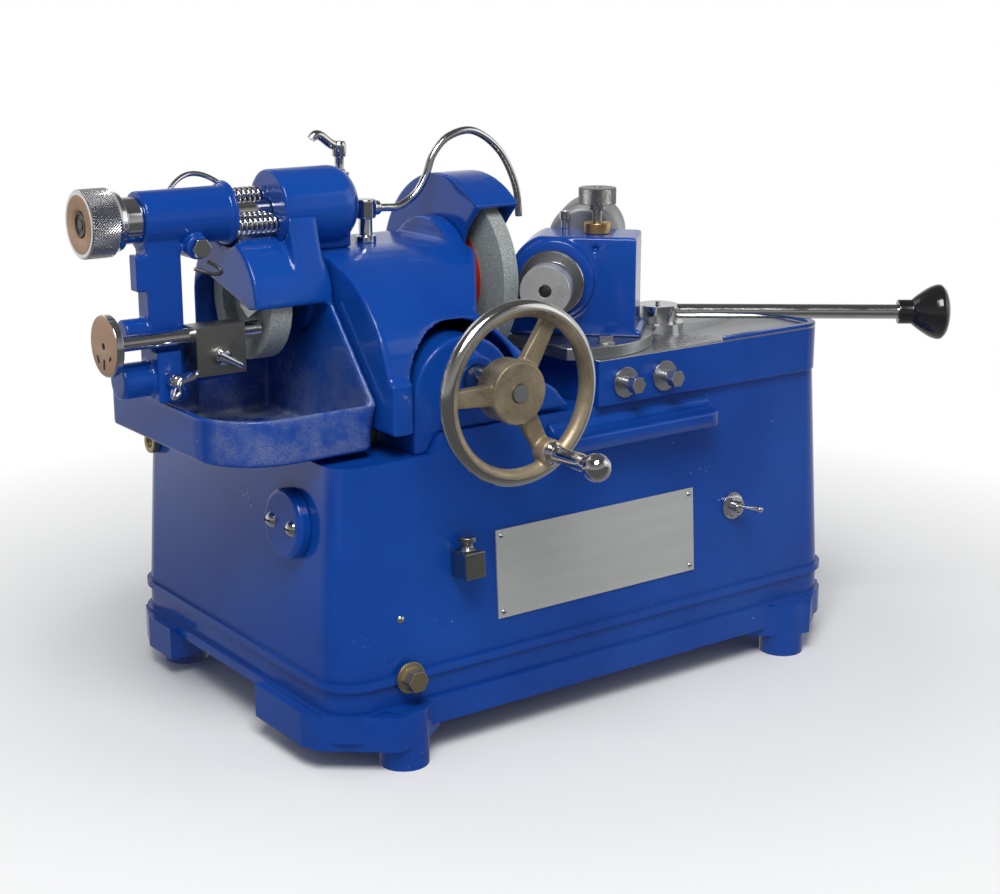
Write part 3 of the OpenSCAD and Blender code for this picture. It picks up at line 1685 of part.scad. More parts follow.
// The stem end attachment's arm: a barrel on the centre rod, a column down to a foot, and lugs
barrel_l = 88;
barrel_flange_t = 4;
barrel_flange_r = 29;
barrel_x0 = flange_x1 - barrel_l;
column_w = 33;
column_y0 = -62;
column_y1 = -38;
column_drop = 77;
column_z0 = spindle_z - column_drop;
arm_inset = 1;
arm_x0 = barrel_x0 + arm_inset;
arm_x1 = arm_x0 + column_w;
arm_gap = 6;
arm_foot_x1 = guard_x0 - arm_gap;
arm_foot_drop = 65;
arm_foot_z0 = spindle_z - arm_foot_drop;
arm_foot_h = 42;
arm_foot_z1 = arm_foot_z0 + arm_foot_h;
block_y0 = -75;
block_w = 23;
block_drop = 31;
block_z1 = spindle_z - block_drop;
lug_l = 10;
lug_rise = 21;
lug_z0 = spindle_z + lug_rise;
lug_h = 32;
lug_z1 = lug_z0 + lug_h;
lug_y1 = -46;
low_boss_r = 16;
low_boss_l = 30;
low_boss_drop = 57;
low_boss_z = spindle_z - low_boss_drop;
high_boss_r = 12;
high_boss_l = 22;
high_boss_drop = 15;
high_boss_z = spindle_z - high_boss_drop;
clamp_boss_r = 11;
arm_bolt_in = 41;
arm_bolt_x = flange_x1 - arm_bolt_in;
arm_bolt_rise = 57;
arm_bolt_z = spindle_z + arm_bolt_rise;
clamp_boss_l = 26;
module butt_arm() {
    color("mediumblue")
        difference() {
            union() {
                bar_x(barrel_x0, flange_x1 - barrel_flange_t, boss_y, boss_z, barrel_d / 2);
                bar_x(flange_x1 - barrel_flange_t, flange_x1, boss_y, boss_z, barrel_flange_r);
                block(arm_x0, arm_x1, column_y0, column_y1, column_z0, boss_z);
                block(arm_x0, arm_foot_x1, column_y0, column_y1, arm_foot_z0, arm_foot_z1);
                block(arm_x0, arm_x0 + block_w, block_y0, column_y1, column_z0, block_z1);
                block(arm_x0 - lug_l, arm_x0, column_y0, lug_y1, lug_z0, lug_z1);
                bar_x(arm_x0 - low_boss_l, arm_x0, column_y0 + low_boss_r / 2, low_boss_z, low_boss_r);
                bar_x(arm_x0 - high_boss_l, arm_x0, (column_y0 + column_y1) / 2, high_boss_z, high_boss_r);
                bar_y(boss_y - clamp_boss_l, boss_y, arm_bolt_x, arm_bolt_z, clamp_boss_r);
            }
            bar_x(barrel_x0 - over, flange_x1 + over, boss_y, boss_z, rod_r + run);
            bar_y(block_y0 - over, block_y0 + wing_in, wing_x, wing_z, wing_screw_r + run);
        }
}
wing_in = 20;
wing_x = arm_x0 + block_w / 2;
wing_drop = 56;
wing_z = spindle_z - wing_drop;
wing_screw_r = 4;
arm_bolt_flats = 16;
arm_bolt_h = 8;
module arm_bolt() {
    color("silver")
        translate([arm_bolt_x, boss_y - clamp_boss_l, arm_bolt_z])
            rotate([90, 0, 0])
                linear_extrude(arm_bolt_h)
                    hexagon(arm_bolt_flats);
}

// The block that the stop rod slides in, on the front of the arm's foot, with its thumbscrew
v_l = 48;
v_x1 = arm_foot_x1;
v_x0 = v_x1 - v_l;
v_deep = 26;
v_y1 = column_y0;
v_y0 = v_y1 - v_deep;
v_drop = 55;
v_z0 = spindle_z - v_drop;
v_h = 44;
rod_y = v_y0 + v_deep / 2;
rod_drop = 19;
rod_z = spindle_z - rod_drop;
stop_reach = 74;
stop_x0 = v_x0 - stop_reach;
stop_gap = 3;
stop_x1 = cup_x0 - stop_gap;
stop_disc_r = 27;
stop_disc_t = 7;
thumb_x = (v_x0 + v_x1) / 2;
thumb_drop = 38;
thumb_z = spindle_z - thumb_drop;
thumb_r = 3.5;
thumb_in = 8;
thumb_head_r = 8;
thumb_head_h = 5;
thumb_turn = 120;
thumb_bar_l = 22.5;
thumb_bar_in = 7.5;
thumb_bar_r = 3;
module v_block() {
    color("silver")
        difference() {
            block(v_x0, v_x1, v_y0, v_y1, v_z0, v_z0 + v_h);
            bar_x(v_x0 - over, v_x1 + over, rod_y, rod_z, stop_rod_d / 2 + run);
            bar_y(v_y0 - over, v_y0 + thumb_in, thumb_x, thumb_z, thumb_r + run);
        }
}
module stop_rod() {
    color("silver")
        union() {
            bar_x(stop_x0, stop_x1, rod_y, rod_z, stop_rod_d / 2);
            bar_x(stop_x0 - stop_disc_t, stop_x0, rod_y, rod_z, stop_disc_r);
        }
}
module thumbscrew() {
    color("lightgrey")
        union() {
            bar_y(v_y0 - thumb_head_h, v_y0 + thumb_in - slip, thumb_x, thumb_z, thumb_r);
            bar_y(v_y0 - thumb_head_h, v_y0, thumb_x, thumb_z, thumb_head_r);
            translate([thumb_x, v_y0 - thumb_head_h, thumb_z])
                rotate([0, thumb_turn, 0])
                    translate([0, 0, -thumb_bar_in])
                        cylinder(h = thumb_bar_l, r = thumb_bar_r);
        }
}
wing_hub_r = 6;
wing_hub_l = 14;
wing_l = 20;
wing_t = 3;
wing_w = 14;
wing_turn = 40;
wing_tip_share = 0.7;
wing_tip_y = block_y0 - wing_hub_l - wing_w;
module wing_screw() {
    color("lightgrey")
        union() {
            bar_y(block_y0 - wing_hub_l, block_y0 + wing_in - slip, wing_x, wing_z, wing_screw_r);
            bar_y(block_y0 - wing_hub_l, block_y0, wing_x, wing_z, wing_hub_r);
            translate([wing_x, 0, wing_z])
                rotate([0, -wing_turn, 0])
                    slab_z(-wing_t / 2, wing_t / 2)
                        polygon([
                            [-wing_hub_r, block_y0 - wing_hub_l / 2],
                            [-wing_l, wing_tip_y + wing_w / 2],
                            [-wing_l * wing_tip_share, wing_tip_y], [0, block_y0 - wing_hub_l],
                            [wing_l * wing_tip_share, wing_tip_y],
                            [wing_l, wing_tip_y + wing_w / 2],
                            [wing_hub_r, block_y0 - wing_hub_l / 2]
                        ]);
        }
}

// The micrometer knob with its sleeve, at the barrel's left end
sleeve_l = 16;
sleeve_r = 20.5;
micro_l = 36;
micro_recess_r = 22;
micro_recess = 5;
micro_bore_r = 10;
micro_step_r = 26;
micro_step = 10;
module micrometer_knob() {
    color("lightgrey")
        turned_x(boss_y, boss_z)
            polygon([
                [0, barrel_x0 - slip], [sleeve_r, barrel_x0 - slip], [sleeve_r, barrel_x0 - sleeve_l],
                [micro_step_r, barrel_x0 - sleeve_l], [micrometer_d / 2, barrel_x0 - sleeve_l - micro_step],
                [micrometer_d / 2, barrel_x0 - sleeve_l - micro_l],
                [micro_recess_r, barrel_x0 - sleeve_l - micro_l],
                [micro_recess_r, barrel_x0 - sleeve_l - micro_l + micro_recess],
                [micro_bore_r, barrel_x0 - sleeve_l - micro_l + micro_recess],
                [micro_bore_r, barrel_x0 - sleeve_l - micro_l + 3 * micro_recess],
                [0, barrel_x0 - sleeve_l - micro_l + 3 * micro_recess]
            ]);
}

base_casting();
end_cover();
panel_screws();
wall_plug();
drain_plug();
nameplate();
switch_body();
toggle_lever();
oiler_block();
slide_bed();
feed_bracket();
drip_lip();
table_ways();
coolant_pump();
cable_gland();
saddle();
spindle_housing();
spindle_bearings();
wheelhead_cover();
main_guard();
left_guard();
attachment_boss();
guide_rods();
return_springs();
feed_nut();
drive_motor();
drive_belt();
coolant_valve();
coolant_post();
valve_handle();
gooseneck();
handwheel();
feed_screw();
crank_handle();
spindle();
grinding_wheel();
wheel_clamps();
cup_wheel();
spindle_pulley();
motor_pulley();
table();
table_bolts();
swivel_plate();
feed_lever();
lever_knob();
lever_pinion();
workhead_housing();
brass_bush();
oil_cup();
chuck_motor();
chuck_spindle();
chuck_collet();
clamp_knob();
butt_arm();
arm_bolt();
v_block();
micrometer_knob();
stop_rod();
thumbscrew();
wing_screw();
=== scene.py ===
"""Finishes and small pieces of a bench valve grinder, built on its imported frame.

The file is laid out as an add-on and is run as a script. Lengths are in metres, in the frame of the
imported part: X along the machine, Y to its back, Z up, and the origin on the bench.
"""

import json
import math

import bmesh
import bpy
from bpy.props import FloatProperty, FloatVectorProperty, IntProperty, PointerProperty
from mathutils import Matrix, Vector


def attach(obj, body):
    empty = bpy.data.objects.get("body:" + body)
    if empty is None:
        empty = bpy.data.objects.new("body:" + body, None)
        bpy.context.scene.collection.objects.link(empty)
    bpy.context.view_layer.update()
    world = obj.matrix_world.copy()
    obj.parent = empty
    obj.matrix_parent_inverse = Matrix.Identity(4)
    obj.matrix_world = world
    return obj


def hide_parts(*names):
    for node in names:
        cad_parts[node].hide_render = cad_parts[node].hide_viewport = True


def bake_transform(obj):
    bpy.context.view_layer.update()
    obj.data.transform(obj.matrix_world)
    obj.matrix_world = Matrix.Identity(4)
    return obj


bl_info = {
    "name": "Bench Valve Grinder",
    "version": (1, 0, 0),
    "blender": (4, 5, 0),
    "location": "3D View > Sidebar > Grinder",
    "description": "Builds the finishes and small pieces of a bench valve grinder",
    "category": "Object",
}

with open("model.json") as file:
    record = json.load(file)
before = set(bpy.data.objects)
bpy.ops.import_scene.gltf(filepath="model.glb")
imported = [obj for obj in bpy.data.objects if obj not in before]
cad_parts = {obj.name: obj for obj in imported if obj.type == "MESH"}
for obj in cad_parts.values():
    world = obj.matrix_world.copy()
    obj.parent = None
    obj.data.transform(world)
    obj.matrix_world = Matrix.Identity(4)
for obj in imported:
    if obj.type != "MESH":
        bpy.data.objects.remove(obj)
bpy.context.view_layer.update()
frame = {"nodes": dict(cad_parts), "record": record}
MM = 0.001

TABLE_TOP = 0.3474
SPINDLE = Vector((0, -0.0385, 0.415))
HANDWHEEL = Vector((-0.160, -0.269, 0.350))
BOSS = Vector((-0.279, -0.044, 0.497))
STOP = Vector((-0.452, -0.075, 0.396))
CHUCK = Vector((0.016, -0.097, 0.415))
CHUCK_TURN = Matrix.Translation(CHUCK) @ Matrix.Rotation(math.radians(45), 4, "Z")
LEVER = Matrix.Translation((0.142, -0.105, TABLE_TOP)) @ Matrix.Rotation(math.radians(-37.4), 4, "Z")
CRANK = Vector((-0.12947, -0.278, 0.29353))
CLAMP_KNOB = Vector((0.04421, -0.12309, 0.49))
VALVE = Vector((-0.174, 0.002, 0))
THUMBSCREW = Vector((-0.354, -0.088, 0.377))
WING = Vector((-0.3975, -0.089, 0.359))
END_COVER = Vector((-0.30378, -0.118, 0.221))
COVER_SCREW = 0.54 * 0.033
PLATE = Vector((-0.0105, -0.19853, 0.1585))
LEAN = math.atan(0.06)


class GrinderPaint(bpy.types.PropertyGroup):
    """Colours and finish of the painted and bare surfaces"""

    blue: FloatVectorProperty(
        name="Blue paint", description="Colour of the enamel on the castings",
        subtype="COLOR", size=3, min=0, max=1, default=(0.003, 0.038, 0.250))
    blue_pale: FloatVectorProperty(
        name="Pale blue", description="Colour of the enamel where it is thin or rubbed",
        subtype="COLOR", size=3, min=0, max=1, default=(0.004, 0.058, 0.320))
    bronze: FloatVectorProperty(
        name="Cast bronze grey", description="Colour of the handwheel's unpainted face",
        subtype="COLOR", size=3, min=0, max=1, default=(0.40, 0.325, 0.215))
    grit: FloatVectorProperty(
        name="Grit", description="Colour of the grinding wheels",
        subtype="COLOR", size=3, min=0, max=1, default=(0.270, 0.305, 0.300))
    label: FloatVectorProperty(
        name="Paper washer", description="Colour of the paper washer on the wide wheel",
        subtype="COLOR", size=3, min=0, max=1, default=(0.70, 0.035, 0.02))
    gloss: FloatProperty(
        name="Paint roughness", description="Roughness of the enamel",
        subtype="FACTOR", min=0.02, max=1, default=0.13)


class GrinderShape(bpy.types.PropertyGroup):
    """Sizes of the small pieces"""

    cast_round: IntProperty(
        name="Casting rounding", description="Smoothing rounds on the castings' edges",
        min=1, max=30, default=9)
    edge: FloatProperty(
        name="Machined edge", description="Width of the broken edge on machined pieces",
        subtype="DISTANCE", unit="LENGTH", min=0.0001, max=0.003, default=0.0006)
    base_edge: FloatProperty(
        name="Base edge", description="Width of the rounded edge on the base",
        subtype="DISTANCE", unit="LENGTH", min=0.0005, max=0.008, default=0.0035)
    wire: FloatProperty(
        name="Spring wire", description="Radius of the return springs' wire",
        subtype="DISTANCE", unit="LENGTH", min=0.0005, max=0.002, default=0.0013)
    turns: IntProperty(
        name="Spring turns", description="Turns of each return spring",
        min=3, max=12, default=8)


class GrinderStage(bpy.types.PropertyGroup):
    """Lamps, floor and camera"""

    key: FloatProperty(
        name="Key lamp", description="Power of the large lamp over the camera's left",
        unit="POWER", min=0, max=500, default=46)
    fill: FloatProperty(
        name="Fill lamp", description="Power of the lamp on the right",
        unit="POWER", min=0, max=500, default=5)
    sky: FloatProperty(
        name="Sky", description="Strength of the even light from all sides",
        min=0, max=2, default=0.38)
    lens: FloatProperty(
        name="Lens", description="Focal length of the camera",
        unit="CAMERA", min=10, max=300, default=64.5)


# Shader groups that several finishes share

def new_group(name, inputs, outputs):
    tree = bpy.data.node_groups.new(name, "ShaderNodeTree")
    for label, kind, value in inputs:
        socket = tree.interface.new_socket(name=label, in_out="INPUT", socket_type=kind)
        if value is not None:
            socket.default_value = value
    for label, kind in outputs:
        tree.interface.new_socket(name=label, in_out="OUTPUT", socket_type=kind)
    return tree, tree.nodes.new("NodeGroupInput"), tree.nodes.new("NodeGroupOutput")


def math_node(tree, operation, a, b=None, clamp=False):
    node = tree.nodes.new("ShaderNodeMath")
    node.operation = operation
    node.use_clamp = clamp
    for socket, value in zip(node.inputs, (a, b)):
        if value is None:
            continue
        if isinstance(value, (int, float)):
            socket.default_value = value
        else:
            tree.links.new(value, socket)
    return node.outputs[0]


def noise(tree, vector, scale, detail=2.0, rough=0.5):
    node = tree.nodes.new("ShaderNodeTexNoise")
    if isinstance(scale, (int, float)):
        node.inputs["Scale"].default_value = scale
    else:
        tree.links.new(scale, node.inputs["Scale"])
    node.inputs["Detail"].default_value = detail
    node.inputs["Roughness"].default_value = rough
    tree.links.new(vector, node.inputs["Vector"])
    return node.outputs["Fac"]


def ranged(tree, value, low, high, to_low=0.0, to_high=1.0):
    node = tree.nodes.new("ShaderNodeMapRange")
    node.inputs["From Min"].default_value = low
    node.inputs["From Max"].default_value = high
    node.inputs["To Min"].default_value = to_low
    node.inputs["To Max"].default_value = to_high
    tree.links.new(value, node.inputs["Value"])
    return node.outputs["Result"]


def paint_group():
    """Tone, chips and the orange peel of brushed enamel over a casting."""
    tree, given, made = new_group(
        "Cast Enamel",
        [("Vector", "NodeSocketVector", None), ("Chips", "NodeSocketFloat", 0.5)],
        [("Tone", "NodeSocketFloat"), ("Chip", "NodeSocketFloat"), ("Height", "NodeSocketFloat")])
    vector = given.outputs["Vector"]
    tree.links.new(ranged(tree, noise(tree, vector, 7.0, 3.0), 0.3, 0.7), made.inputs["Tone"])
    specks = noise(tree, vector, 320.0, 2.0, 0.6)
    patches = noise(tree, vector, 11.0, 2.0)
    both = math_node(tree, "MULTIPLY", specks, patches)
    level = math_node(tree, "SUBTRACT", 0.60, math_node(tree, "MULTIPLY", given.outputs["Chips"], 0.14))
    chip = math_node(tree, "MULTIPLY", math_node(tree, "SUBTRACT", both, level), 60.0, True)
    tree.links.new(chip, made.inputs["Chip"])
    waves = noise(tree, vector, 38.0, 1.0)
    peel = noise(tree, vector, 420.0, 1.0)
    height = math_node(tree, "ADD", math_node(tree, "MULTIPLY", waves, 0.8),
                       math_node(tree, "MULTIPLY", peel, 0.06))
    height = math_node(tree, "SUBTRACT", height, math_node(tree, "MULTIPLY", chip, 0.12))
    tree.links.new(height, made.inputs["Height"])
    return tree


def grain_group():
    """Fine tool marks along one direction, with smudges."""
    tree, given, made = new_group(
        "Tool Marks",
        [("Vector", "NodeSocketVector", None), ("Scale", "NodeSocketFloat", 1.0)],
        [("Grain", "NodeSocketFloat"), ("Smudge", "NodeSocketFloat")])
    scaled = tree.nodes.new("ShaderNodeVectorMath")
    scaled.operation = "SCALE"
    tree.links.new(given.outputs["Vector"], scaled.inputs[0])
    tree.links.new(given.outputs["Scale"], scaled.inputs["Scale"])
    fine = noise(tree, scaled.outputs[0], 260.0, 3.0, 0.65)
    wide = noise(tree, given.outputs["Vector"], 30.0, 3.0)
    tree.links.new(fine, made.inputs["Grain"])
    tree.links.new(ranged(tree, wide, 0.35, 0.7), made.inputs["Smudge"])
    return tree


def grit_group():
    """Sparkling grains of a bonded wheel, and dry grinding dust."""
    tree, given, made = new_group(
        "Abrasive Grit",
        [("Vector", "NodeSocketVector", None)],
        [("Grain", "NodeSocketFloat"), ("Spark", "NodeSocketFloat"), ("Height", "NodeSocketFloat")])
    vector = given.outputs["Vector"]
    cells = tree.nodes.new("ShaderNodeTexVoronoi")
    cells.inputs["Scale"].default_value = 1500.0
    tree.links.new(vector, cells.inputs["Vector"])
    spread = tree.nodes.new("ShaderNodeSeparateColor")
    tree.links.new(cells.outputs["Color"], spread.inputs[0])
    tree.links.new(spread.outputs[0], made.inputs["Grain"])
    tree.links.new(ranged(tree, spread.outputs[1], 0.90, 0.97), made.inputs["Spark"])
    tree.links.new(math_node(tree, "ADD", math_node(tree, "MULTIPLY", spread.outputs[2], 0.6),
                             noise(tree, vector, 300.0, 2.0)), made.inputs["Height"])
    return tree


def knurl_group():
    """Crossed knurling round the local Z axis: rows round the piece, and rows along it for each metre."""
    tree, given, made = new_group(
        "Crossed Knurl",
        [("Vector", "NodeSocketVector", None), ("Rows", "NodeSocketFloat", 60.0),
         ("Along", "NodeSocketFloat", 600.0)],
        [("Height", "NodeSocketFloat")])
    split = split_vector(tree, given.outputs["Vector"])
    turn = math_node(tree, "ARCTAN2", split.outputs["Y"], split.outputs["X"])
    rows = math_node(tree, "MULTIPLY", math_node(tree, "MULTIPLY", turn, 1 / (2 * math.pi)),
                     given.outputs["Rows"])
    along = math_node(tree, "MULTIPLY", split.outputs["Z"], given.outputs["Along"])
    one = math_node(tree, "PINGPONG", math_node(tree, "ADD", rows, along), 0.5)
    two = math_node(tree, "PINGPONG", math_node(tree, "SUBTRACT", rows, along), 0.5)
    tree.links.new(math_node(tree, "MULTIPLY", math_node(tree, "MINIMUM", one, two), 2.0),
                   made.inputs["Height"])
    return tree


GROUPS = {}


def group_node(tree, key, vector, **values):
    if key not in GROUPS:
        GROUPS[key] = {"paint": paint_group, "grain": grain_group, "grit": grit_group,
                       "knurl": knurl_group}[key]()
    node = tree.nodes.new("ShaderNodeGroup")
    node.node_tree = GROUPS[key]
    tree.links.new(vector, node.inputs["Vector"])
    for label, value in values.items():
        node.inputs[label].default_value = value
    return node


# Finishes

def new_material(name):
    """A material with its Principled shader and the Object coordinates."""
    material = bpy.data.materials.new(name)
    material.use_nodes = True
    tree = material.node_tree
    shader = tree.nodes["Principled BSDF"]
    where = tree.nodes.new("ShaderNodeTexCoord").outputs["Object"]
    return material, tree, shader, where


def centred(tree, where, place=(0, 0, 0), turn=(0, 0, 0), scale=(1, 1, 1)):
    """Object coordinates counted from a place, turned and stretched."""
    move = tree.nodes.new("ShaderNodeVectorMath")
    move.operation = "SUBTRACT"
    move.inputs[1].default_value = place
    tree.links.new(where, move.inputs[0])
    node = tree.nodes.new("ShaderNodeMapping")
    node.inputs["Rotation"].default_value = turn
    node.inputs["Scale"].default_value = scale
    tree.links.new(move.outputs[0], node.inputs["Vector"])
    return node.outputs["Vector"]


def split_vector(tree, vector):
    node = tree.nodes.new("ShaderNodeSeparateXYZ")
    tree.links.new(vector, node.inputs[0])
    return node


def off_axis(tree, split, one, two):
    """The distance from an axis, from the two parts of a vector that are square to it."""
    flat = tree.nodes.new("ShaderNodeCombineXYZ")
    tree.links.new(split.outputs[one], flat.inputs["X"])
    tree.links.new(split.outputs[two], flat.inputs["Y"])
    away = tree.nodes.new("ShaderNodeVectorMath")
    away.operation = "LENGTH"
    tree.links.new(flat.outputs[0], away.inputs[0])
    return away.outputs["Value"]


def view_depth(tree, split):
    """How far a place or a direction lies along the camera's level line of sight."""
    return math_node(tree, "ADD", math_node(tree, "MULTIPLY", split.outputs["X"], 0.59),
                     math_node(tree, "MULTIPLY", split.outputs["Y"], 0.81))


def blend_colour(tree, factor, a, b):
    node = tree.nodes.new("ShaderNodeMix")
    node.data_type = "RGBA"
    node.clamp_factor = True
    tree.links.new(factor, node.inputs["Factor"])
    for socket, value in ((node.inputs[6], a), (node.inputs[7], b)):
        if isinstance(value, (tuple, list)):
            socket.default_value = (*value[:3], 1.0)
        else:
            tree.links.new(value, socket)
    return node.outputs[2]


def bumped(tree, shader, height, strength, distance):
    node = tree.nodes.new("ShaderNodeBump")
    node.inputs["Strength"].default_value = strength
    node.inputs["Distance"].default_value = distance
    tree.links.new(height, node.inputs["Height"])
    tree.links.new(node.outputs["Normal"], shader.inputs["Normal"])


def enamel(name, chips=0.5, dusty=False, top=None):
    """Blue gloss enamel, with grinding dust in the tray or with bare ground steel above a height."""
    paint = bpy.context.scene.grinder_paint
    material, tree, shader, where = new_material(name)
    group = group_node(tree, "paint", where, Chips=chips)
    colour = blend_colour(tree, group.outputs["Tone"], tuple(paint.blue), tuple(paint.blue_pale))
    rough = ranged(tree, group.outputs["Tone"], 0, 1, paint.gloss, paint.gloss + 0.08)
    bare = group.outputs["Chip"]
    colour = blend_colour(tree, bare, colour, (0.30, 0.32, 0.38))
    rough = math_node(tree, "ADD", rough, math_node(tree, "MULTIPLY", bare, 0.4))
    if dusty:
        grit = group_node(tree, "grit", where)
        normal = split_vector(tree, tree.nodes.new("ShaderNodeNewGeometry").outputs["Normal"])
        place = split_vector(tree, where)
        up = ranged(tree, normal.outputs["Z"], -0.45, 0.6)
        low = ranged(tree, place.outputs["Z"], 0.395, 0.305)
        inside = ranged(tree, place.outputs["X"], -0.3925, -0.388)
        patchy = ranged(tree, noise(tree, where, 30.0, 5.0, 0.65), 0.34, 0.6)
        dust = math_node(tree, "MULTIPLY", math_node(tree, "MULTIPLY", up, low),
                         math_node(tree, "MULTIPLY", inside, patchy))
        dust = math_node(tree, "MULTIPLY", dust,
                         ranged(tree, grit.outputs["Grain"], 0.15, 0.75, 0.35, 1.0), True)
        colour = blend_colour(tree, dust, colour, (0.27, 0.29, 0.33))
        rough = math_node(tree, "ADD", rough, math_node(tree, "MULTIPLY", dust, 0.7), True)
    if top:
        place = split_vector(tree, where)
        ground = math_node(tree, "MULTIPLY", ranged(tree, place.outputs["Z"], top, top + 0.0003),
                           ranged(tree, place.outputs["Z"], top + 0.0018, top + 0.0014))
        marks = group_node(tree, "grain", centred(tree, where, scale=(0.08, 1, 1)))
        steel = blend_colour(tree, marks.outputs["Smudge"], (0.50, 0.51, 0.52), (0.36, 0.37, 0.38))
        colour = blend_colour(tree, ground, colour, steel)
        level = math_node(tree, "ADD", math_node(tree, "MULTIPLY", marks.outputs["Grain"], 0.16), 0.2)
        rough = math_node(tree, "ADD", math_node(tree, "MULTIPLY", ground, level),
                          math_node(tree, "MULTIPLY", math_node(tree, "SUBTRACT", 1.0, ground), rough))
        tree.links.new(ground, shader.inputs["Metallic"])
        tree.links.new(ranged(tree, ground, 0, 1, 0.25, 0.0), shader.inputs["Coat Weight"])
    else:
        shader.inputs["Coat Weight"].default_value = 0.25
    tree.links.new(colour, shader.inputs["Base Color"])
    tree.links.new(rough, shader.inputs["Roughness"])
    shader.inputs["Specular IOR Level"].default_value = 0.34
    shader.inputs["Coat Roughness"].default_value = 0.04
    bumped(tree, shader, group.outputs["Height"], 0.12, 0.0012)
    return material


def metal(name, colour, rough, smudge=0.12, scale=(1, 1, 1), turn=(0, 0, 0), strength=0.05, metallic=1.0):
    """Bare or plated metal with tool marks along the direction that is scaled least."""
    material, tree, shader, where = new_material(name)
    group = group_node(tree, "grain", centred(tree, where, turn=turn, scale=scale))
    dark = tuple(c * 0.72 for c in colour)
    mixed = blend_colour(tree, math_node(tree, "MULTIPLY", group.outputs["Smudge"], 0.5), colour, dark)
    tree.links.new(mixed, shader.inputs["Base Color"])
    shader.inputs["Metallic"].default_value = metallic
    level = math_node(tree, "ADD", math_node(tree, "MULTIPLY", group.outputs["Grain"], smudge * 0.7),
                      math_node(tree, "MULTIPLY", group.outputs["Smudge"], smudge))
    tree.links.new(math_node(tree, "ADD", level, rough), shader.inputs["Roughness"])
    bumped(tree, shader, group.outputs["Grain"], strength, 0.0004)
    return material


def turned_face(name):
    """Polished steel with the fine rings of the lathe round the chuck's axis."""
    material, tree, shader, where = new_material(name)
    local = centred(tree, where, tuple(CHUCK), (0, 0, math.radians(-45)))
    lines = tree.nodes.new("ShaderNodeCombineXYZ")
    tree.links.new(off_axis(tree, split_vector(tree, local), "Y", "Z"), lines.inputs["X"])
    rings = noise(tree, lines.outputs[0], 2600.0, 2.0)
    smudge = noise(tree, where, 45.0, 3.0)
    tree.links.new(blend_colour(tree, ranged(tree, smudge, 0.35, 0.7), (0.70, 0.70, 0.69), (0.58, 0.58, 0.57)),
                   shader.inputs["Base Color"])
    shader.inputs["Metallic"].default_value = 0.7
    tree.links.new(math_node(tree, "ADD", math_node(tree, "MULTIPLY", smudge, 0.14), 0.2),
                   shader.inputs["Roughness"])
    bumped(tree, shader, rings, 0.12, 0.0003)
    return material


def knurled(name, colour, rough, place, turn, rows, along, reach):
    """Metal that is knurled where it is further than reach from its axis, with its grooves darkened as painted
    shade.
    """
    material, tree, shader, where = new_material(name)
    local = centred(tree, where, place, turn)
    group = group_node(tree, "knurl", local, Rows=rows, Along=along)
    radius = off_axis(tree, split_vector(tree, local), "X", "Y")
    rim = ranged(tree, radius, reach - 0.0002, reach + 0.0002)
    height = math_node(tree, "MULTIPLY", group.outputs["Height"], rim)
    # Painted shade: the knurl's grooves are darkened in colour to stand for the shade that falls in them.
    groove_shade = math_node(tree, "MULTIPLY", rim, ranged(tree, group.outputs["Height"], 0.35, 0.0))
    tree.links.new(blend_colour(tree, groove_shade, colour, tuple(c * 0.16 for c in colour)),
                   shader.inputs["Base Color"])
    tree.links.new(math_node(tree, "ADD", math_node(tree, "MULTIPLY", groove_shade, 0.3), rough),
                   shader.inputs["Roughness"])
    shader.inputs["Metallic"].default_value = 1.0
    bumped(tree, shader, height, 0.9, 0.0011)
    return material


def abrasive(name):
    """A grey bonded wheel with pale sparkling grains."""
    paint = bpy.context.scene.grinder_paint
    material, tree, shader, where = new_material(name)
    grit = group_node(tree, "grit", where)
    dark = tuple(c * 0.6 for c in paint.grit)
    colour = blend_colour(tree, grit.outputs["Grain"], dark, tuple(c * 1.35 for c in paint.grit))
    colour = blend_colour(tree, math_node(tree, "MULTIPLY", grit.outputs["Spark"], 0.7), colour,
                          (0.62, 0.66, 0.65))
    rubbed = ranged(tree, noise(tree, where, 24.0, 3.0), 0.4, 0.7, 0.0, 0.35)
    colour = blend_colour(tree, rubbed, colour, (0.27, 0.25, 0.24))
    tree.links.new(colour, shader.inputs["Base Color"])
    tree.links.new(ranged(tree, grit.outputs["Spark"], 0, 1, 0.92, 0.45), shader.inputs["Roughness"])
    bumped(tree, shader, grit.outputs["Height"], 0.4, 0.0003)
    return material


def plain(name, colour, rough, bump=0.05, coat=0.0):
    """Plastic, rubber or paper with a fine uneven surface."""
    material, tree, shader, where = new_material(name)
    fine = noise(tree, where, 220.0, 3.0)
    wide = noise(tree, where, 26.0, 2.0)
    tree.links.new(blend_colour(tree, ranged(tree, wide, 0.35, 0.65), colour,
                                tuple(min(1.0, c * 1.25) for c in colour)),
                   shader.inputs["Base Color"])
    tree.links.new(math_node(tree, "ADD", math_node(tree, "MULTIPLY", wide, 0.12), rough),
                   shader.inputs["Roughness"])
    shader.inputs["Coat Weight"].default_value = coat
    bumped(tree, shader, fine, bump, 0.0003)
    return material


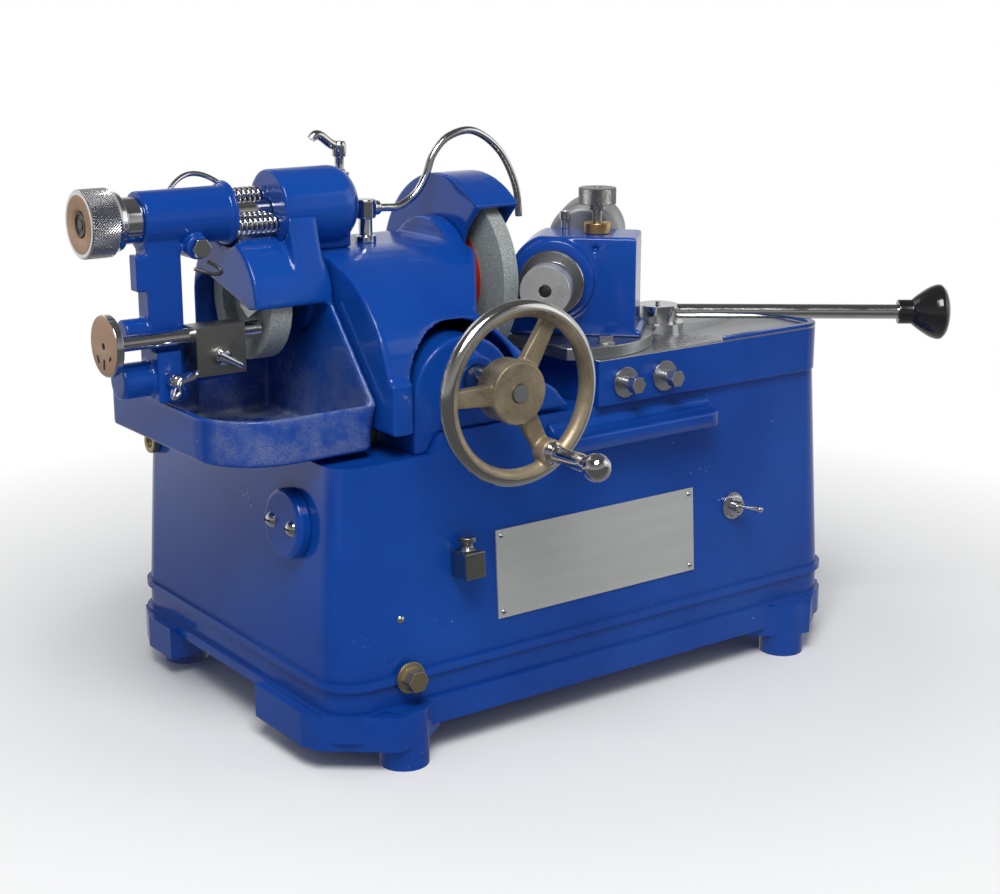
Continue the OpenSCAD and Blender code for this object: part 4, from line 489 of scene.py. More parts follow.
def handwheel_finish(name):
    """Rough bronze grey spokes and face, with the outside of the rim and the hub's face polished."""
    paint = bpy.context.scene.grinder_paint
    material, tree, shader, where = new_material(name)
    local = centred(tree, where, tuple(HANDWHEEL), (math.radians(90), 0, 0))
    split = split_vector(tree, local)
    radius = off_axis(tree, split, "X", "Y")
    uneven = math_node(tree, "MULTIPLY", noise(tree, where, 60.0, 2.0), 0.0012)
    rim = ranged(tree, math_node(tree, "ADD", radius, uneven), 0.0752, 0.0764)
    hub = math_node(tree, "MULTIPLY", ranged(tree, radius, 0.0272, 0.0268),
                    ranged(tree, split.outputs["Z"], 0.0004, 0.0008))
    sleeve = math_node(tree, "MULTIPLY", ranged(tree, radius, 0.0180, 0.0176),
                       ranged(tree, split.outputs["Z"], -0.0262, -0.0266))
    rim = math_node(tree, "MAXIMUM", rim, sleeve)
    bright = math_node(tree, "MAXIMUM", rim, hub)
    stains = ranged(tree, noise(tree, where, 13.0, 4.0, 0.6), 0.44, 0.68)
    grain = noise(tree, where, 480.0, 3.0, 0.6)
    rough_colour = blend_colour(tree, stains, tuple(paint.bronze), tuple(c * 0.36 for c in paint.bronze))
    rough_colour = blend_colour(tree, ranged(tree, grain, 0.5, 0.8, 0, 0.35), rough_colour,
                                (0.55, 0.47, 0.34))
    rings = math_node(tree, "SINE", math_node(tree, "MULTIPLY", radius, 2 * math.pi / 0.0007))
    worn = noise(tree, where, 70.0, 3.0)
    hub_colour = blend_colour(tree, ranged(tree, worn, 0.35, 0.7), (0.27, 0.24, 0.18), (0.46, 0.42, 0.34))
    edge = math_node(tree, "MULTIPLY", hub, ranged(tree, radius, 0.0252, 0.0256))
    hub_colour = blend_colour(tree, edge, hub_colour, (0.60, 0.57, 0.48))
    colour = blend_colour(tree, hub, blend_colour(tree, rim, rough_colour, (0.66, 0.65, 0.62)), hub_colour)
    tree.links.new(colour, shader.inputs["Base Color"])
    tree.links.new(ranged(tree, bright, 0, 1, 0.42, 0.16), shader.inputs["Roughness"])
    tree.links.new(ranged(tree, bright, 0, 1, 0.6, 1.0), shader.inputs["Metallic"])
    height = math_node(tree, "MULTIPLY", grain, ranged(tree, bright, 0, 1, 1.0, 0.03))
    height = math_node(tree, "ADD", height, math_node(tree, "MULTIPLY", math_node(tree, "MULTIPLY", rings, hub),
                                                      0.06))
    bumped(tree, shader, height, 0.35, 0.0007)
    return material


FINISHES = {}


def finish(key):
    """The material of that name, made when it is first used."""
    if key not in FINISHES:
        chrome = (0.74, 0.74, 0.75)
        steel = (0.56, 0.57, 0.58)
        recipes = {
            "enamel": lambda: enamel("Blue enamel"),
            "enamel_worn": lambda: enamel("Blue enamel worn", 0.95),
            "enamel_dusty": lambda: enamel("Blue enamel dusty", 0.7, True),
            "chrome": lambda: metal("Chrome", chrome, 0.07, 0.08, strength=0.02),
            "dull_chrome": lambda: metal("Dark ground steel", (0.42, 0.42, 0.39), 0.16, 0.14, (0.08, 1, 1)),
            "table": lambda: enamel("Blue enamel with a ground top", 0.3, top=TABLE_TOP - 0.0009),
            "steel": lambda: metal("Machined steel", steel, 0.22, 0.16, (1, 0.12, 1)),
            "steel_x": lambda: metal("Machined steel along X", steel, 0.2, 0.16, (0.06, 1, 1)),
            "plate_steel": lambda: metal("Ground swivel plate", (0.58, 0.60, 0.60), 0.24, 0.14, (0.1, 1, 1),
                                         (0, 0, math.radians(20)), 0.06),
            "turned_steel": lambda: turned_face("Faced steel"),
            "dark_steel": lambda: metal("Dark steel", (0.16, 0.15, 0.14), 0.3, 0.15),
            "silver": lambda: metal("Silver plate", (0.60, 0.61, 0.60), 0.36, 0.14, (0.05, 1, 1),
                                    strength=0.035, metallic=0.55),
            "cast_alloy": lambda: metal("Cast alloy", (0.44, 0.45, 0.46), 0.42, 0.15, strength=0.2),
            "brass": lambda: metal("Turned brass", (0.72, 0.46, 0.19), 0.18, 0.14),
            "dull_brass": lambda: metal("Dull brass", (0.55, 0.47, 0.30), 0.28, 0.18),
            "copper": lambda: metal("Worn copper face", (0.56, 0.37, 0.25), 0.38, 0.24, (1, 0.2, 1),
                                    strength=0.15, metallic=0.6),
            "iron": lambda: metal("Grey iron", (0.20, 0.20, 0.21), 0.5, 0.2, strength=0.3),
            "handwheel": lambda: handwheel_finish("Cast handwheel"),
            "micrometer": lambda: knurled("Knurled chrome", chrome, 0.12, tuple(BOSS),
                                          (0, math.radians(90), 0), 72, 380, 0.0296),
            "clamp_knob": lambda: knurled("Knurled black steel", (0.40, 0.40, 0.38), 0.34,
                                          tuple(CLAMP_KNOB), (0, 0, 0), 46, 390, 0.0180),
            "grit": lambda: abrasive("Grey abrasive"),
            "label": lambda: plain("Red paper", tuple(bpy.context.scene.grinder_paint.label), 0.62, 0.2),
            "plastic": lambda: plain("Black gloss plastic", (0.010, 0.010, 0.011), 0.10, 0.03, coat=0.4),
            "rubber": lambda: plain("Black rubber", (0.02, 0.02, 0.02), 0.62, 0.2),
            "motor": lambda: plain("Grey motor paint", (0.09, 0.10, 0.11), 0.38, 0.1),
            # Painted shade: near-black, for the thin sheets that stand for the shade inside slots and holes.
            "shadow": lambda: plain("Painted recess shade", (0.012, 0.012, 0.013), 0.7, 0.1),
        }
        FINISHES[key] = recipes[key]()
    return FINISHES[key]


# Mesh helpers

def body_of(node):
    for body, members in frame["record"]["behaviour"]["bodies"].items():
        if node in members:
            return body
    raise RuntimeError(f"no body holds {node}")


def make_piece(bm, name, body, key, stands_for=(), angle=38):
    """Turns a bmesh into a piece that rides on a body, where one is given, and wears a finish."""
    mesh = bpy.data.meshes.new(name)
    bm.to_mesh(mesh)
    bm.free()
    mesh.shade_smooth()
    mesh.set_sharp_from_angle(angle=math.radians(angle))
    piece = bpy.data.objects.new(name, mesh)
    bpy.context.scene.collection.objects.link(piece)
    mesh.materials.append(finish(key))
    if body:
        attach(piece, body)
    if stands_for:
        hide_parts(*stands_for)
    return piece


def dress(node, key):
    """Gives a CAD node its finish."""
    shade_marks = frame["nodes"][node].data.materials
    shade_marks.clear()
    shade_marks.append(finish(key))


def merged_copy(node):
    bm = bmesh.new()
    bm.from_mesh(frame["nodes"][node].data)
    bmesh.ops.remove_doubles(bm, verts=bm.verts, dist=1e-6)
    return bm


def cast_piece(node, name, key, voxel, rounds=None):
    """A casting with soft edges and fillets, in place of its CAD node."""
    piece = make_piece(merged_copy(node), name, body_of(node), key, (node,), 180)
    remesh = piece.modifiers.new("Cast skin", "REMESH")
    remesh.mode = "VOXEL"
    remesh.voxel_size = voxel
    remesh.use_smooth_shade = True
    relax = piece.modifiers.new("Cast fillets", "SMOOTH")
    relax.factor = 0.5
    relax.iterations = rounds or bpy.context.scene.grinder_shape.cast_round
    return piece


def edged_piece(node, name, key, width=None, segments=2, angle=32):
    """A machined piece with broken edges, in place of its CAD node."""
    bm = merged_copy(node)
    bmesh.ops.dissolve_limit(bm, angle_limit=math.radians(0.6), verts=bm.verts, edges=bm.edges)
    piece = make_piece(bm, name, body_of(node), key, (node,), angle)
    bevel = piece.modifiers.new("Broken edges", "BEVEL")
    bevel.width = width or bpy.context.scene.grinder_shape.edge
    bevel.segments = segments
    bevel.limit_method = "ANGLE"
    bevel.angle_limit = math.radians(angle)
    bevel.miter_outer = "MITER_ARC"
    bevel.harden_normals = True
    return piece


def eased(profile, radius, steps=3):
    """A profile with its corners rounded."""
    out = [profile[0]]
    for before, here, after in zip(profile, profile[1:], profile[2:]):
        a, b, c = Vector(before), Vector(here), Vector(after)
        r = min(radius, (a - b).length / 2.2, (c - b).length / 2.2)
        start, end = b + (a - b).normalized() * r, b + (c - b).normalized() * r
        for i in range(steps + 1):
            t = i / steps
            out.append(tuple(start * (1 - t) ** 2 + b * 2 * t * (1 - t) + end * t * t))
    out.append(profile[-1])
    return out


def turned(profile, matrix, steps=64):
    """A turned shape round the local Z axis, from (radius, height) in millimetres."""
    bm = bmesh.new()
    verts = [bm.verts.new((r * MM, 0, h * MM)) for r, h in profile]
    edges = [bm.edges.new(pair) for pair in zip(verts, verts[1:])]
    bmesh.ops.spin(bm, geom=verts + edges, cent=(0, 0, 0), axis=(0, 0, 1), dvec=(0, 0, 0),
                   angle=2 * math.pi, steps=steps, use_merge=True)
    bmesh.ops.remove_doubles(bm, verts=bm.verts, dist=1e-7)
    bmesh.ops.recalc_face_normals(bm, faces=bm.faces)
    bmesh.ops.transform(bm, matrix=matrix, verts=bm.verts)
    return bm


def facing(place, axis):
    """A matrix that puts local Z along an axis at a place."""
    return Matrix.Translation(place) @ Vector((0, 0, 1)).rotation_difference(Vector(axis)).to_matrix().to_4x4()


def rounded_box(size, matrix, width=0.0005, segments=2):
    """A box of a size in metres with rounded edges."""
    bm = bmesh.new()
    bmesh.ops.create_cube(bm, size=1, matrix=matrix @ Matrix.Diagonal((*size, 1)))
    bmesh.ops.bevel(bm, geom=bm.edges[:], offset=width, offset_type="OFFSET", segments=segments,
                    profile=0.5, affect="EDGES", material=-1)
    return bm


def gathered(parts):
    """Several bmeshes as one."""
    whole = bmesh.new()
    for part in parts:
        mesh = bpy.data.meshes.new("part")
        part.to_mesh(mesh)
        part.free()
        whole.from_mesh(mesh)
        bpy.data.meshes.remove(mesh)
    return whole


def swept(points, radius, name, sides=16):
    """A round tube through points, as a bmesh."""
    curve = bpy.data.curves.new(name, "CURVE")
    curve.dimensions = "3D"
    curve.bevel_depth = radius
    curve.bevel_resolution = sides // 4
    curve.resolution_u = 10
    curve.use_fill_caps = True
    spline = curve.splines.new("NURBS")
    spline.points.add(len(points) - 1)
    for knot, place in zip(spline.points, points):
        knot.co = (*place, 1)
    spline.order_u = 4
    spline.use_endpoint_u = True
    holder = bpy.data.objects.new(name, curve)
    bpy.context.scene.collection.objects.link(holder)
    bpy.context.view_layer.update()
    mesh = bpy.data.meshes.new_from_object(holder.evaluated_get(bpy.context.evaluated_depsgraph_get()))
    bm = bmesh.new()
    bm.from_mesh(mesh)
    bmesh.ops.remove_doubles(bm, verts=bm.verts, dist=1e-7)
    bmesh.ops.recalc_face_normals(bm, faces=bm.faces)
    bpy.data.objects.remove(holder)
    bpy.data.curves.remove(curve)
    bpy.data.meshes.remove(mesh)
    return bm


class GRINDER_OT_stage(bpy.types.Operator):
    """Make the pale floor, the soft lamps, the sky and the camera"""

    bl_idname = "grinder.stage"
    bl_label = "Stage"

    def execute(self, context):
        stage = context.scene.grinder_stage
        bm = bmesh.new()
        bmesh.ops.create_grid(bm, x_segments=1, y_segments=1, size=6.0)
        mesh = bpy.data.meshes.new("floor")
        bm.to_mesh(mesh)
        bm.free()
        floor = bpy.data.objects.new("floor", mesh)
        context.scene.collection.objects.link(floor)
        mesh.materials.append(self.floor_finish())
        self.lamp(context, "key_lamp", (-0.9, -1.25, 2.1), 1.1, stage.key)
        self.lamp(context, "fill_lamp", (1.7, -1.5, 1.3), 1.4, stage.fill)
        self.lamp(context, "back_lamp", (-0.6, 1.7, 1.8), 1.2, stage.fill)
        self.sky(context, stage.sky)
        data = bpy.data.cameras.new("camera")
        data.lens = stage.lens
        data.sensor_width = 36
        camera = bpy.data.objects.new("camera", data)
        context.scene.collection.objects.link(camera)
        yaw, pitch = math.radians(36.25), math.radians(14.79)
        look = Vector((math.sin(yaw) * math.cos(pitch), math.cos(yaw) * math.cos(pitch), -math.sin(pitch)))
        camera.location = (-1.0749, -1.4878, 0.7041)
        camera.rotation_euler = look.to_track_quat("-Z", "Y").to_euler()
        context.scene.camera = camera
        context.scene.view_settings.view_transform = "Standard"
        return {"FINISHED"}

    @staticmethod
    def lamp(context, name, place, size, power):
        data = bpy.data.lights.new(name, "AREA")
        data.size = size
        data.energy = power
        lamp = bpy.data.objects.new(name, data)
        lamp.location = place
        lamp.rotation_euler = (Vector((0, 0, 0.25)) - Vector(place)).to_track_quat("-Z", "Y").to_euler()
        context.scene.collection.objects.link(lamp)

    @staticmethod
    def floor_finish():
        material, tree, shader, where = new_material("Pale floor")
        shader.inputs["Base Color"].default_value = (0.84, 0.84, 0.84, 1)
        shader.inputs["Roughness"].default_value = 0.6
        shader.inputs["Specular IOR Level"].default_value = 0.2
        fade = ranged(tree, off_axis(tree, split_vector(tree, where), "X", "Y"), 0.45, 1.0)
        path = tree.nodes.new("ShaderNodeLightPath")
        clear = math_node(tree, "MAXIMUM", path.outputs["Is Camera Ray"], path.outputs["Is Transmission Ray"])
        seen = math_node(tree, "MAXIMUM", math_node(tree, "MULTIPLY", fade, clear), path.outputs["Is Glossy Ray"])
        white = tree.nodes.new("ShaderNodeEmission")
        ahead = view_depth(tree, split_vector(tree, where))
        tree.links.new(math_node(tree, "MAXIMUM", clear, ranged(tree, ahead, -0.5, 0.9, 0.10, 0.80)),
                       white.inputs["Strength"])
        mix = tree.nodes.new("ShaderNodeMixShader")
        tree.links.new(seen, mix.inputs["Fac"])
        tree.links.new(shader.outputs[0], mix.inputs[1])
        tree.links.new(white.outputs[0], mix.inputs[2])
        tree.links.new(mix.outputs[0], tree.nodes["Material Output"].inputs["Surface"])
        return material

    @staticmethod
    def sky(context, strength):
        world = bpy.data.worlds.new("Studio")
        world.use_nodes = True
        context.scene.world = world
        tree = world.node_tree
        light = tree.nodes["Background"]
        light.inputs["Color"].default_value = (0.96, 0.98, 1.0, 1)
        light.inputs["Strength"].default_value = strength
        split = split_vector(tree, tree.nodes.new("ShaderNodeTexCoord").outputs["Generated"])
        path = tree.nodes.new("ShaderNodeLightPath")
        high = ranged(tree, split.outputs["Z"], 0.10, 0.65, 0.80, 0.10)
        ahead = view_depth(tree, split)
        grey = math_node(tree, "MULTIPLY", high, ranged(tree, ahead, -0.5, 0.3, 0.38, 1.0))
        level = math_node(tree, "MAXIMUM", grey, path.outputs["Is Camera Ray"])
        shown = tree.nodes.new("ShaderNodeBackground")
        shown.inputs["Color"].default_value = (1, 1, 1, 1)
        tree.links.new(level, shown.inputs["Strength"])
        seen = math_node(tree, "MAXIMUM", path.outputs["Is Camera Ray"], path.outputs["Is Glossy Ray"])
        seen = math_node(tree, "MAXIMUM", seen, path.outputs["Is Transmission Ray"])
        mix = tree.nodes.new("ShaderNodeMixShader")
        tree.links.new(seen, mix.inputs["Fac"])
        tree.links.new(light.outputs[0], mix.inputs[1])
        tree.links.new(shown.outputs[0], mix.inputs[2])
        tree.links.new(mix.outputs[0], tree.nodes["World Output"].inputs["Surface"])


class GRINDER_OT_castings(bpy.types.Operator):
    """Make the painted castings with soft edges"""

    bl_idname = "grinder.castings"
    bl_label = "Painted castings"

    def execute(self, context):
        edge = context.scene.grinder_shape.base_edge
        edged_piece("base_casting", "base", "enamel_worn", edge, 4, 28)
        edged_piece("table", "table_top", "table", edge * 0.6, 3, 28)
        cast_piece("end_cover", "end_wall_cover", "enamel", 0.0011, 6)
        cast_piece("feed_bracket", "screw_bracket", "enamel", 0.0014)
        cast_piece("drip_lip", "drip_shelf", "enamel", 0.0013)
        cast_piece("wheelhead_cover", "head_cover", "enamel", 0.0022, 7)
        cast_piece("main_guard", "wheel_hood", "enamel", 0.0013)
        cast_piece("left_guard", "tray_and_guard", "enamel_dusty", 0.0019, 7)
        cast_piece("attachment_boss", "boss_block", "enamel", 0.0014, 14)
        cast_piece("workhead_housing", "chuck_block", "enamel", 0.0015, 16)
        cast_piece("butt_arm", "stem_arm", "enamel_worn", 0.0012)
        dress("spindle_housing", "enamel")
        return {"FINISHED"}


class GRINDER_OT_handwheel(bpy.types.Operator):
    """Make the cast handwheel, its screw end and the crank handle"""

    bl_idname = "grinder.handwheel"
    bl_label = "Handwheel"

    def execute(self, context):
        cast_piece("handwheel", "feed_handwheel", "handwheel", 0.0011, 8)
        dress("feed_screw", "steel")
        profile = [(0, 0), (11.0, 0), (11.0, 2.0), (9.6, 4.0), (7.8, 7), (7.2, 13), (7.4, 24), (8.0, 34),
                   (8.2, 42), (7.6, 47), (8.4, 50.4), (10.8, 53.6), (12.4, 57.4), (12.8, 61), (12.3, 65),
                   (10.4, 68.8), (7.4, 71.5), (3.8, 72.6), (0, 72.8)]
        make_piece(turned(eased(profile, 1.2), facing(CRANK, (0, -1, 0)), 48), "crank_grip",
                   "handwheel", "chrome", ("crank_handle",), 60)
        return {"FINISHED"}


class GRINDER_OT_wheels(bpy.types.Operator):
    """Make the grinding wheels, the paper washer and the clamps"""

    bl_idname = "grinder.wheels"
    bl_label = "Grinding wheels"

    def execute(self, context):
        edged_piece("grinding_wheel", "wide_wheel", "grit", 0.0008)
        edged_piece("cup_wheel", "stem_wheel", "grit", 0.0008)
        profile = [(33, 0), (50, 0), (50, 0.35), (33, 0.35), (33, 0)]
        place = facing((-0.0725, SPINDLE.y, SPINDLE.z), (1, 0, 0))
        make_piece(turned(profile, place, 96), "paper_washer", "spindle", "label")
        for node in ("wheel_clamps", "spindle", "spindle_bearings"):
            dress(node, "steel")
        for node in ("spindle_pulley", "motor_pulley"):
            dress(node, "iron")
        return {"FINISHED"}


class GRINDER_OT_slides(bpy.types.Operator):
    """Finish the slides, the swivel plate, the bolts and what the base holds inside"""

    bl_idname = "grinder.slides"
    bl_label = "Slides and inner parts"

    def execute(self, context):
        edged_piece("swivel_plate", "swivel_disc", "plate_steel", 0.001)
        edged_piece("table_bolts", "table_screws", "steel", 0.0008)
        for node in ("slide_bed", "saddle", "table_ways"):
            dress(node, "steel_x")
        dress("feed_nut", "brass")
        dress("drive_motor", "motor")
        dress("drive_belt", "rubber")
        dress("coolant_pump", "iron")
        dress("cable_gland", "rubber")
        return {"FINISHED"}


class GRINDER_OT_lever(bpy.types.Operator):
    """Make the table lever, its hub, its knob and its pinion"""

    bl_idname = "grinder.lever"
    bl_label = "Table lever"

    def execute(self, context):
        edged_piece("feed_lever", "lever_rod", "chrome", 0.001)
        dress("lever_pinion", "steel")
        profile = [(0, 248), (12.2, 248), (12.5, 249), (12.5, 262.4), (14.2, 264), (17.4, 268),
                   (20.9, 273), (24.2, 278), (26.6, 282.6), (28.0, 286.6), (28.5, 289.8), (27.9, 292.4),
                   (24.4, 296), (17.1, 299), (8.6, 300.4), (0, 300.8)]
        turn = LEVER @ Matrix.Translation((0, 0, 0.0186)) @ Matrix.Rotation(math.radians(90), 4, "Y")
        make_piece(turned(eased(profile, 0.8), turn, 64), "lever_grip", "lever", "plastic",
                   ("lever_knob",), 60)
        return {"FINISHED"}


class GRINDER_OT_chuck_head(bpy.types.Operator):
    """Make the chuck, its nose sleeve and funnel, the clamp knob, the bush, the oil cup and the small motor"""

    bl_idname = "grinder.chuck_head"
    bl_label = "Chuck head"

    def execute(self, context):
        edged_piece("chuck_spindle", "chuck_nose", "steel", 0.0009)
        edged_piece("chuck_collet", "collet", "steel", 0.0006)
        edged_piece("brass_bush", "clamp_bush", "brass", 0.001)
        edged_piece("clamp_knob", "knurled_knob", "clamp_knob", 0.0008, 3)
        edged_piece("oil_cup", "oiler", "chrome", 0.0008)
        cast_piece("chuck_motor", "small_motor", "cast_alloy", 0.0014, 5)
        along = CHUCK_TURN @ Matrix.Rotation(math.radians(90), 4, "Y")
        nose = turned([(6.1, -80), (6.1, -99.2), (6.8, -99.9), (23.6, -99.9), (24.2, -99.3), (24.2, -80),
                       (6.1, -80)], along, 96)
        funnel = turned([(19.6, -45.6), (29.8, -52), (30.4, -52.6), (31.2, -52.6), (31.8, -52), (31.8, -38),
                         (19.6, -38), (19.6, -45.6)], along, 96)
        make_piece(nose, "nose_sleeve", "chuck", "turned_steel", (), 40)
        make_piece(funnel, "nose_funnel", "chuck", "chrome", (), 40)
        return {"FINISHED"}


class GRINDER_OT_stem_attachment(bpy.types.Operator):
    """Make the springs, the rods, the micrometer knob, the stop rod and the block that holds it"""

    bl_idname = "grinder.stem_attachment"
    bl_label = "Stem end attachment"

    def execute(self, context):
        shape = context.scene.grinder_shape
        self.springs(shape)
        dress("guide_rods", "chrome")
        edged_piece("arm_bolt", "barrel_bolt", "chrome", 0.0009)
        edged_piece("v_block", "stop_block", "dull_chrome", 0.0008)
        self.micrometer()
        self.stop_rod()
        self.wing_leaf()
        head = turned(eased([(0, 8), (3.4, 8), (3.4, 0), (8, 0), (8, -4.4), (5.6, -7), (0, -7.6)], 0.8),
                      facing(THUMBSCREW, (0, 1, 0)), 40)
        bar = turned(eased([(0, -8.5), (2.6, -8.5), (3.2, -5), (3.0, 5), (2.9, 14), (3.1, 19), (2.4, 20.5),
                            (0, 20.8)], 0.8),
                     facing(THUMBSCREW - Vector((0, 0.0055, 0)), (0.866, 0, -0.5)), 24)
        make_piece(gathered([head, bar]), "block_screw", body_of("thumbscrew"), "chrome",
                   ("thumbscrew",), 60)
        self.band()
        return {"FINISHED"}

    @staticmethod
    def springs(shape):
        """Two coils between the boss and the arm's flange, with their wire ends capped."""
        coils = []
        steps = 24 * shape.turns
        length = 0.043 - 2 * shape.wire
        for side in (-1, 1):
            bm = bmesh.new()
            bmesh.ops.create_circle(bm, segments=10, radius=shape.wire, cap_ends=False)
            bmesh.ops.transform(bm, matrix=Matrix.Translation((0, 0.008, 0)), verts=bm.verts)
            bmesh.ops.spin(bm, geom=bm.verts[:] + bm.edges[:], cent=(0, 0, 0), axis=(1, 0, 0),
                           dvec=(length / steps, 0, 0), angle=2 * math.pi * shape.turns, steps=steps,
                           use_merge=False)
            bmesh.ops.holes_fill(bm, edges=[edge for edge in bm.edges if edge.is_boundary], sides=0)
            bmesh.ops.recalc_face_normals(bm, faces=bm.faces)
            place = (-0.322 + shape.wire, BOSS.y + side * 0.015, BOSS.z + side * 0.011)
            bmesh.ops.transform(bm, matrix=Matrix.Translation(place), verts=bm.verts)
            coils.append(bm)
        piece = make_piece(gathered(coils), "spring_coils", None, "chrome", ("return_springs",), 60)
        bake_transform(piece)

    @staticmethod
    def wing_leaf():
        """The clamp screw of the stop block's slide, with its two broad wings."""
        shaft = turned(eased([(0, 34), (4, 34), (4, 14), (6.4, 14), (6.8, 4), (5.4, -1), (0, -2)], 1.0),
                       facing(WING, (0, 1, 0)), 40)
        leaf = bmesh.new()
        outline = [(-4.5, 4), (-9, -2), (-15.5, -10), (-17.5, -17), (-14, -21.5), (-8, -20), (-3, -12),
                   (0, -8.5), (3, -12), (8, -20), (14, -21.5), (17.5, -17), (15.5, -10), (9, -2), (4.5, 4)]
        flat = leaf.faces.new([leaf.verts.new((x * MM, y * MM, -0.0019)) for x, y in outline])
        raised = bmesh.ops.extrude_face_region(leaf, geom=[flat])
        bmesh.ops.translate(leaf, vec=(0, 0, 0.0038),
                            verts=[v for v in raised["geom"] if isinstance(v, bmesh.types.BMVert)])
        bmesh.ops.bevel(leaf, geom=leaf.edges[:], offset=0.0015, offset_type="OFFSET", segments=3,
                        profile=0.5, affect="EDGES", material=-1)
        bmesh.ops.recalc_face_normals(leaf, faces=leaf.faces)
        place = Matrix.Translation(WING + Vector((0, 0.003, 0))) @ Matrix.Rotation(math.radians(-40), 4, "Y")
        bmesh.ops.transform(leaf, matrix=place, verts=leaf.verts)
        make_piece(gathered([shaft, leaf]), "wing_nut", body_of("wing_screw"), "chrome", ("wing_screw",), 60)

    @staticmethod
    def micrometer():
        """The knurled knob, its plain sleeve and the worn face in its recess."""
        place = facing((-0.4103, BOSS.y, BOSS.z), (-1, 0, 0))
        profile = [(0, 0), (20.5, 0), (20.5, 15), (22, 16), (25.8, 17.5), (26.6, 22), (28.4, 25.2),
                   (30, 26.2), (30, 50.4), (28.8, 51.7), (25, 51.7), (24, 51.7), (24, 48.6), (0, 48.6)]
        make_piece(turned(eased(profile, 0.7), place, 96), "micrometer_grip", "micrometer", "micrometer",
                   ("micrometer_knob",), 50)
        face = [(25.8, 50.6), (25.5, 52.0), (14.5, 52.0), (11.6, 50.2), (11.2, 47), (11.2, 46), (24, 46),
                (24.4, 50.6), (25.8, 50.6)]
        make_piece(turned(eased(face, 0.5), place, 72), "micrometer_face", "micrometer", "copper")
        screw = [(0, 50.8), (4.6, 50.8), (5.2, 50.0), (8.2, 49.8), (9.6, 51.2), (11.0, 50.8), (11.0, 46),
                 (0, 46)]
        make_piece(turned(eased(screw, 0.4), place, 48), "micrometer_screw", "micrometer", "dark_steel")

    @staticmethod
    def stop_rod():
        """The rod with its disc, whose face has three worn slots and a centre hole, drawn as thin near-black
        sheets that paint the shade inside them.
        """
        edged_piece("stop_rod", "stop_shaft", "chrome", 0.001)
        place = facing((-0.459, STOP.y, STOP.z), (-1, 0, 0))
        face = [(0, 0), (26.2, 0), (26.2, 0.35), (25.6, 0.6), (3.4, 0.6), (2.8, 0.1), (0, 0.1)]
        make_piece(turned(face, place, 72), "stop_disc_face", "stop_rod", "copper")
        # Painted shade: the slots and the centre hole are thin near-black sheets on the face, standing for the
        # shade inside them.
        shade_marks = []
        for x, z, turn, size in ((0, -16, 8, 9), (12, -13, -28, 7), (-13, -9, 40, 5)):
            spot = Matrix.Translation((-0.4597, STOP.y + x * MM, STOP.z + z * MM))
            spot = spot @ Matrix.Rotation(math.radians(turn), 4, "X")
            shade_marks.append(rounded_box((0.0005, 0.0028, size * MM), spot, 0.0002))
        shade_marks.append(turned([(0, 0), (2.6, 0), (2.6, 0.5), (0, 0.5)],
                            facing((-0.4592, STOP.y, STOP.z), (-1, 0, 0)), 24))
        make_piece(gathered(shade_marks), "stop_disc_slot_shade", "stop_rod", "shadow")

    @staticmethod
    def band():
        """The bright bow over the barrel's back, and the dark spring clip below its bolt."""
        points = []
        for i in range(13):
            t = i / 12
            points.append((-0.372 + 0.060 * t, BOSS.y + 0.012 + 0.008 * math.sin(math.pi * t),
                           BOSS.z + 0.0205 + 0.014 * math.sin(math.pi * min(1.0, t * 1.06)) ** 0.8))
        make_piece(swept(points, 0.0024, "bow"), "barrel_bow", "arm", "chrome", (), 60)
        clip = [(-0.366, -0.0655, 0.4530), (-0.360, -0.0705, 0.4500), (-0.350, -0.0725, 0.4470),
                (-0.3415, -0.0705, 0.4470), (-0.340, -0.0665, 0.4500), (-0.345, -0.0640, 0.4540),
                (-0.352, -0.0630, 0.4580)]
        make_piece(swept(clip, 0.0016, "clip"), "bolt_clip", "arm", "dark_steel", (), 60)


class GRINDER_OT_coolant(bpy.types.Operator):
    """Make the coolant post, the goose neck and the valve"""

    bl_idname = "grinder.coolant"
    bl_label = "Coolant fittings"

    def execute(self, context):
        cast_piece("gooseneck", "bent_tube", "chrome", 0.0009, 6)
        hub = turned(eased([(0, 518.5), (6.2, 518.5), (6.2, 522), (4.6, 523), (4.6, 534), (6.8, 535.2), (7.2, 546),
                            (5.8, 549.4), (0, 550)], 0.8), Matrix.Translation(VALVE), 40)
        path = [(-0.171, 0.002, 0.5435), (-0.180, 0.002, 0.5450), (-0.187, 0.002, 0.5495),
                (-0.194, 0.002, 0.5560), (-0.2005, 0.002, 0.5575), (-0.2045, 0.002, 0.5530)]
        grip = swept(path, 0.0046, "grip", 20)
        make_piece(gathered([hub, grip]), "valve_grip", body_of("valve_handle"), "chrome", ("valve_handle",), 60)
        edged_piece("coolant_post", "tube_post", "chrome", 0.0007)
        edged_piece("coolant_valve", "valve_body", "chrome", 0.0007)
        return {"FINISHED"}


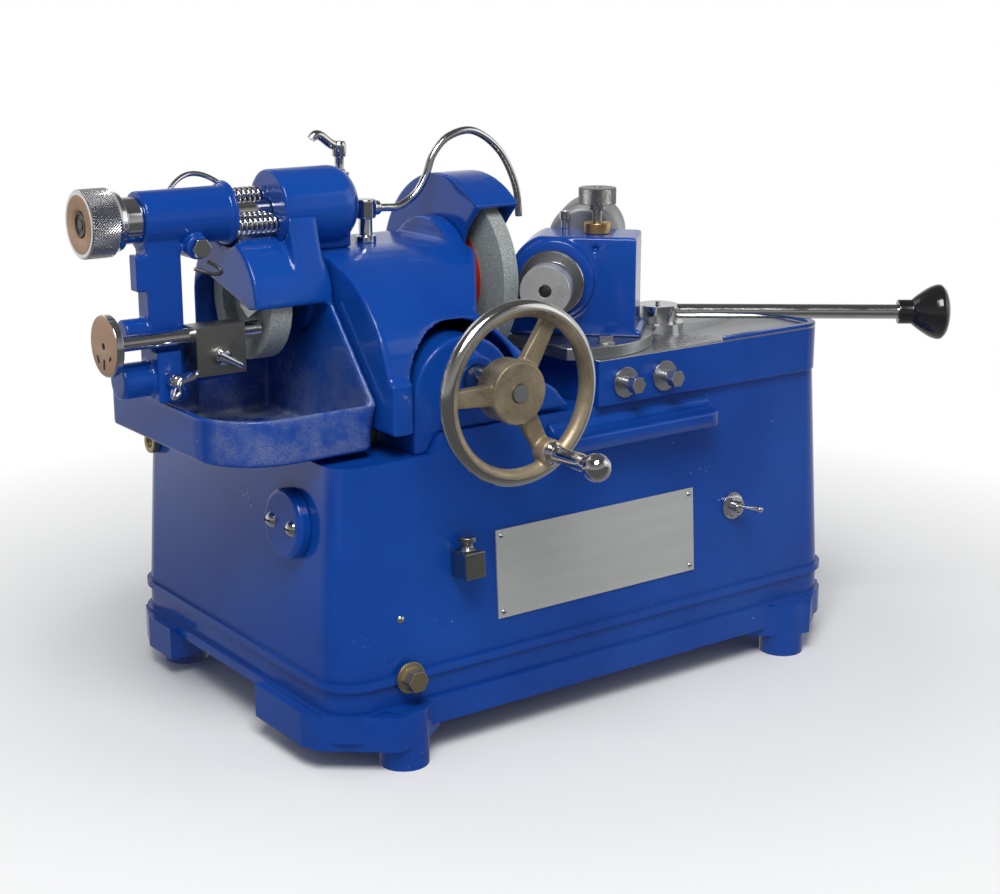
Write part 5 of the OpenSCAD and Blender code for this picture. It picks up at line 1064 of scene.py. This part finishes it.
class GRINDER_OT_fittings(bpy.types.Operator):
    """Finish the bare plate, the screws, the switch, the oiler and the plugs"""

    bl_idname = "grinder.fittings"
    bl_label = "Wall fittings"

    def execute(self, context):
        edged_piece("nameplate", "bare_plate", "silver", 0.0004)
        dress("panel_screws", "chrome")
        edged_piece("wall_plug", "side_plug", "dull_brass", 0.0012)
        edged_piece("drain_plug", "sump_plug", "dull_brass", 0.0014)
        edged_piece("switch_body", "switch_neck", "chrome", 0.0008)
        dress("toggle_lever", "chrome")
        edged_piece("oiler_block", "oiler_cup", "dull_chrome", 0.003, 4)
        # Painted shade: the screws' slots are thin near-black sheets standing for the shade inside them.
        shade_marks = []
        for side in (-1, 1):
            wall = Matrix.Translation(END_COVER + Vector((0, side * COVER_SCREW, 0)))
            wall = wall @ Matrix.Rotation(LEAN, 4, "Y")
            shade_marks.append(rounded_box((0.0016, 0.0085, 0.0014), wall @ Matrix.Translation((-0.0177, 0, 0)),
                                     0.0002))
        for sx in (-1, 1):
            for sz in (-1, 1):
                wall = Matrix.Translation(PLATE) @ Matrix.Rotation(-LEAN, 4, "X")
                spot = wall @ Matrix.Translation((sx * 0.1175, -0.0034, sz * 0.037))
                shade_marks.append(rounded_box((0.0042, 0.0007, 0.0007), spot, 0.0001))
        make_piece(gathered(shade_marks), "screw_slot_shade", "base", "shadow")
        return {"FINISHED"}


class GRINDER_PT_panel(bpy.types.Panel):
    """Lists the steps that build the grinder"""

    bl_idname = "GRINDER_PT_panel"
    bl_label = "Bench Valve Grinder"
    bl_space_type = "VIEW_3D"
    bl_region_type = "UI"
    bl_category = "Grinder"

    def draw(self, context):
        column = self.layout.column()
        for operator in OPERATORS:
            column.operator(operator.bl_idname)
        for group in ("grinder_paint", "grinder_shape", "grinder_stage"):
            settings = getattr(context.scene, group)
            for key in settings.bl_rna.properties.keys():
                if key not in ("rna_type", "name"):
                    column.prop(settings, key)


OPERATORS = (
    GRINDER_OT_stage, GRINDER_OT_castings, GRINDER_OT_handwheel, GRINDER_OT_wheels,
    GRINDER_OT_slides, GRINDER_OT_lever, GRINDER_OT_chuck_head, GRINDER_OT_stem_attachment,
    GRINDER_OT_coolant, GRINDER_OT_fittings,
)
SETTINGS = {"grinder_paint": GrinderPaint, "grinder_shape": GrinderShape, "grinder_stage": GrinderStage}


def register():
    for cls in (*SETTINGS.values(), *OPERATORS, GRINDER_PT_panel):
        bpy.utils.register_class(cls)
    for name, cls in SETTINGS.items():
        setattr(bpy.types.Scene, name, PointerProperty(type=cls))


def unregister():
    for name in SETTINGS:
        delattr(bpy.types.Scene, name)
    for cls in reversed((*SETTINGS.values(), *OPERATORS, GRINDER_PT_panel)):
        bpy.utils.unregister_class(cls)


def main():
    register()
    for step in ("stage", "castings", "handwheel", "wheels", "slides", "lever", "chuck_head",
                 "stem_attachment", "coolant", "fittings"):
        getattr(bpy.ops.grinder, step)()


if __name__ == "__main__":
    main()
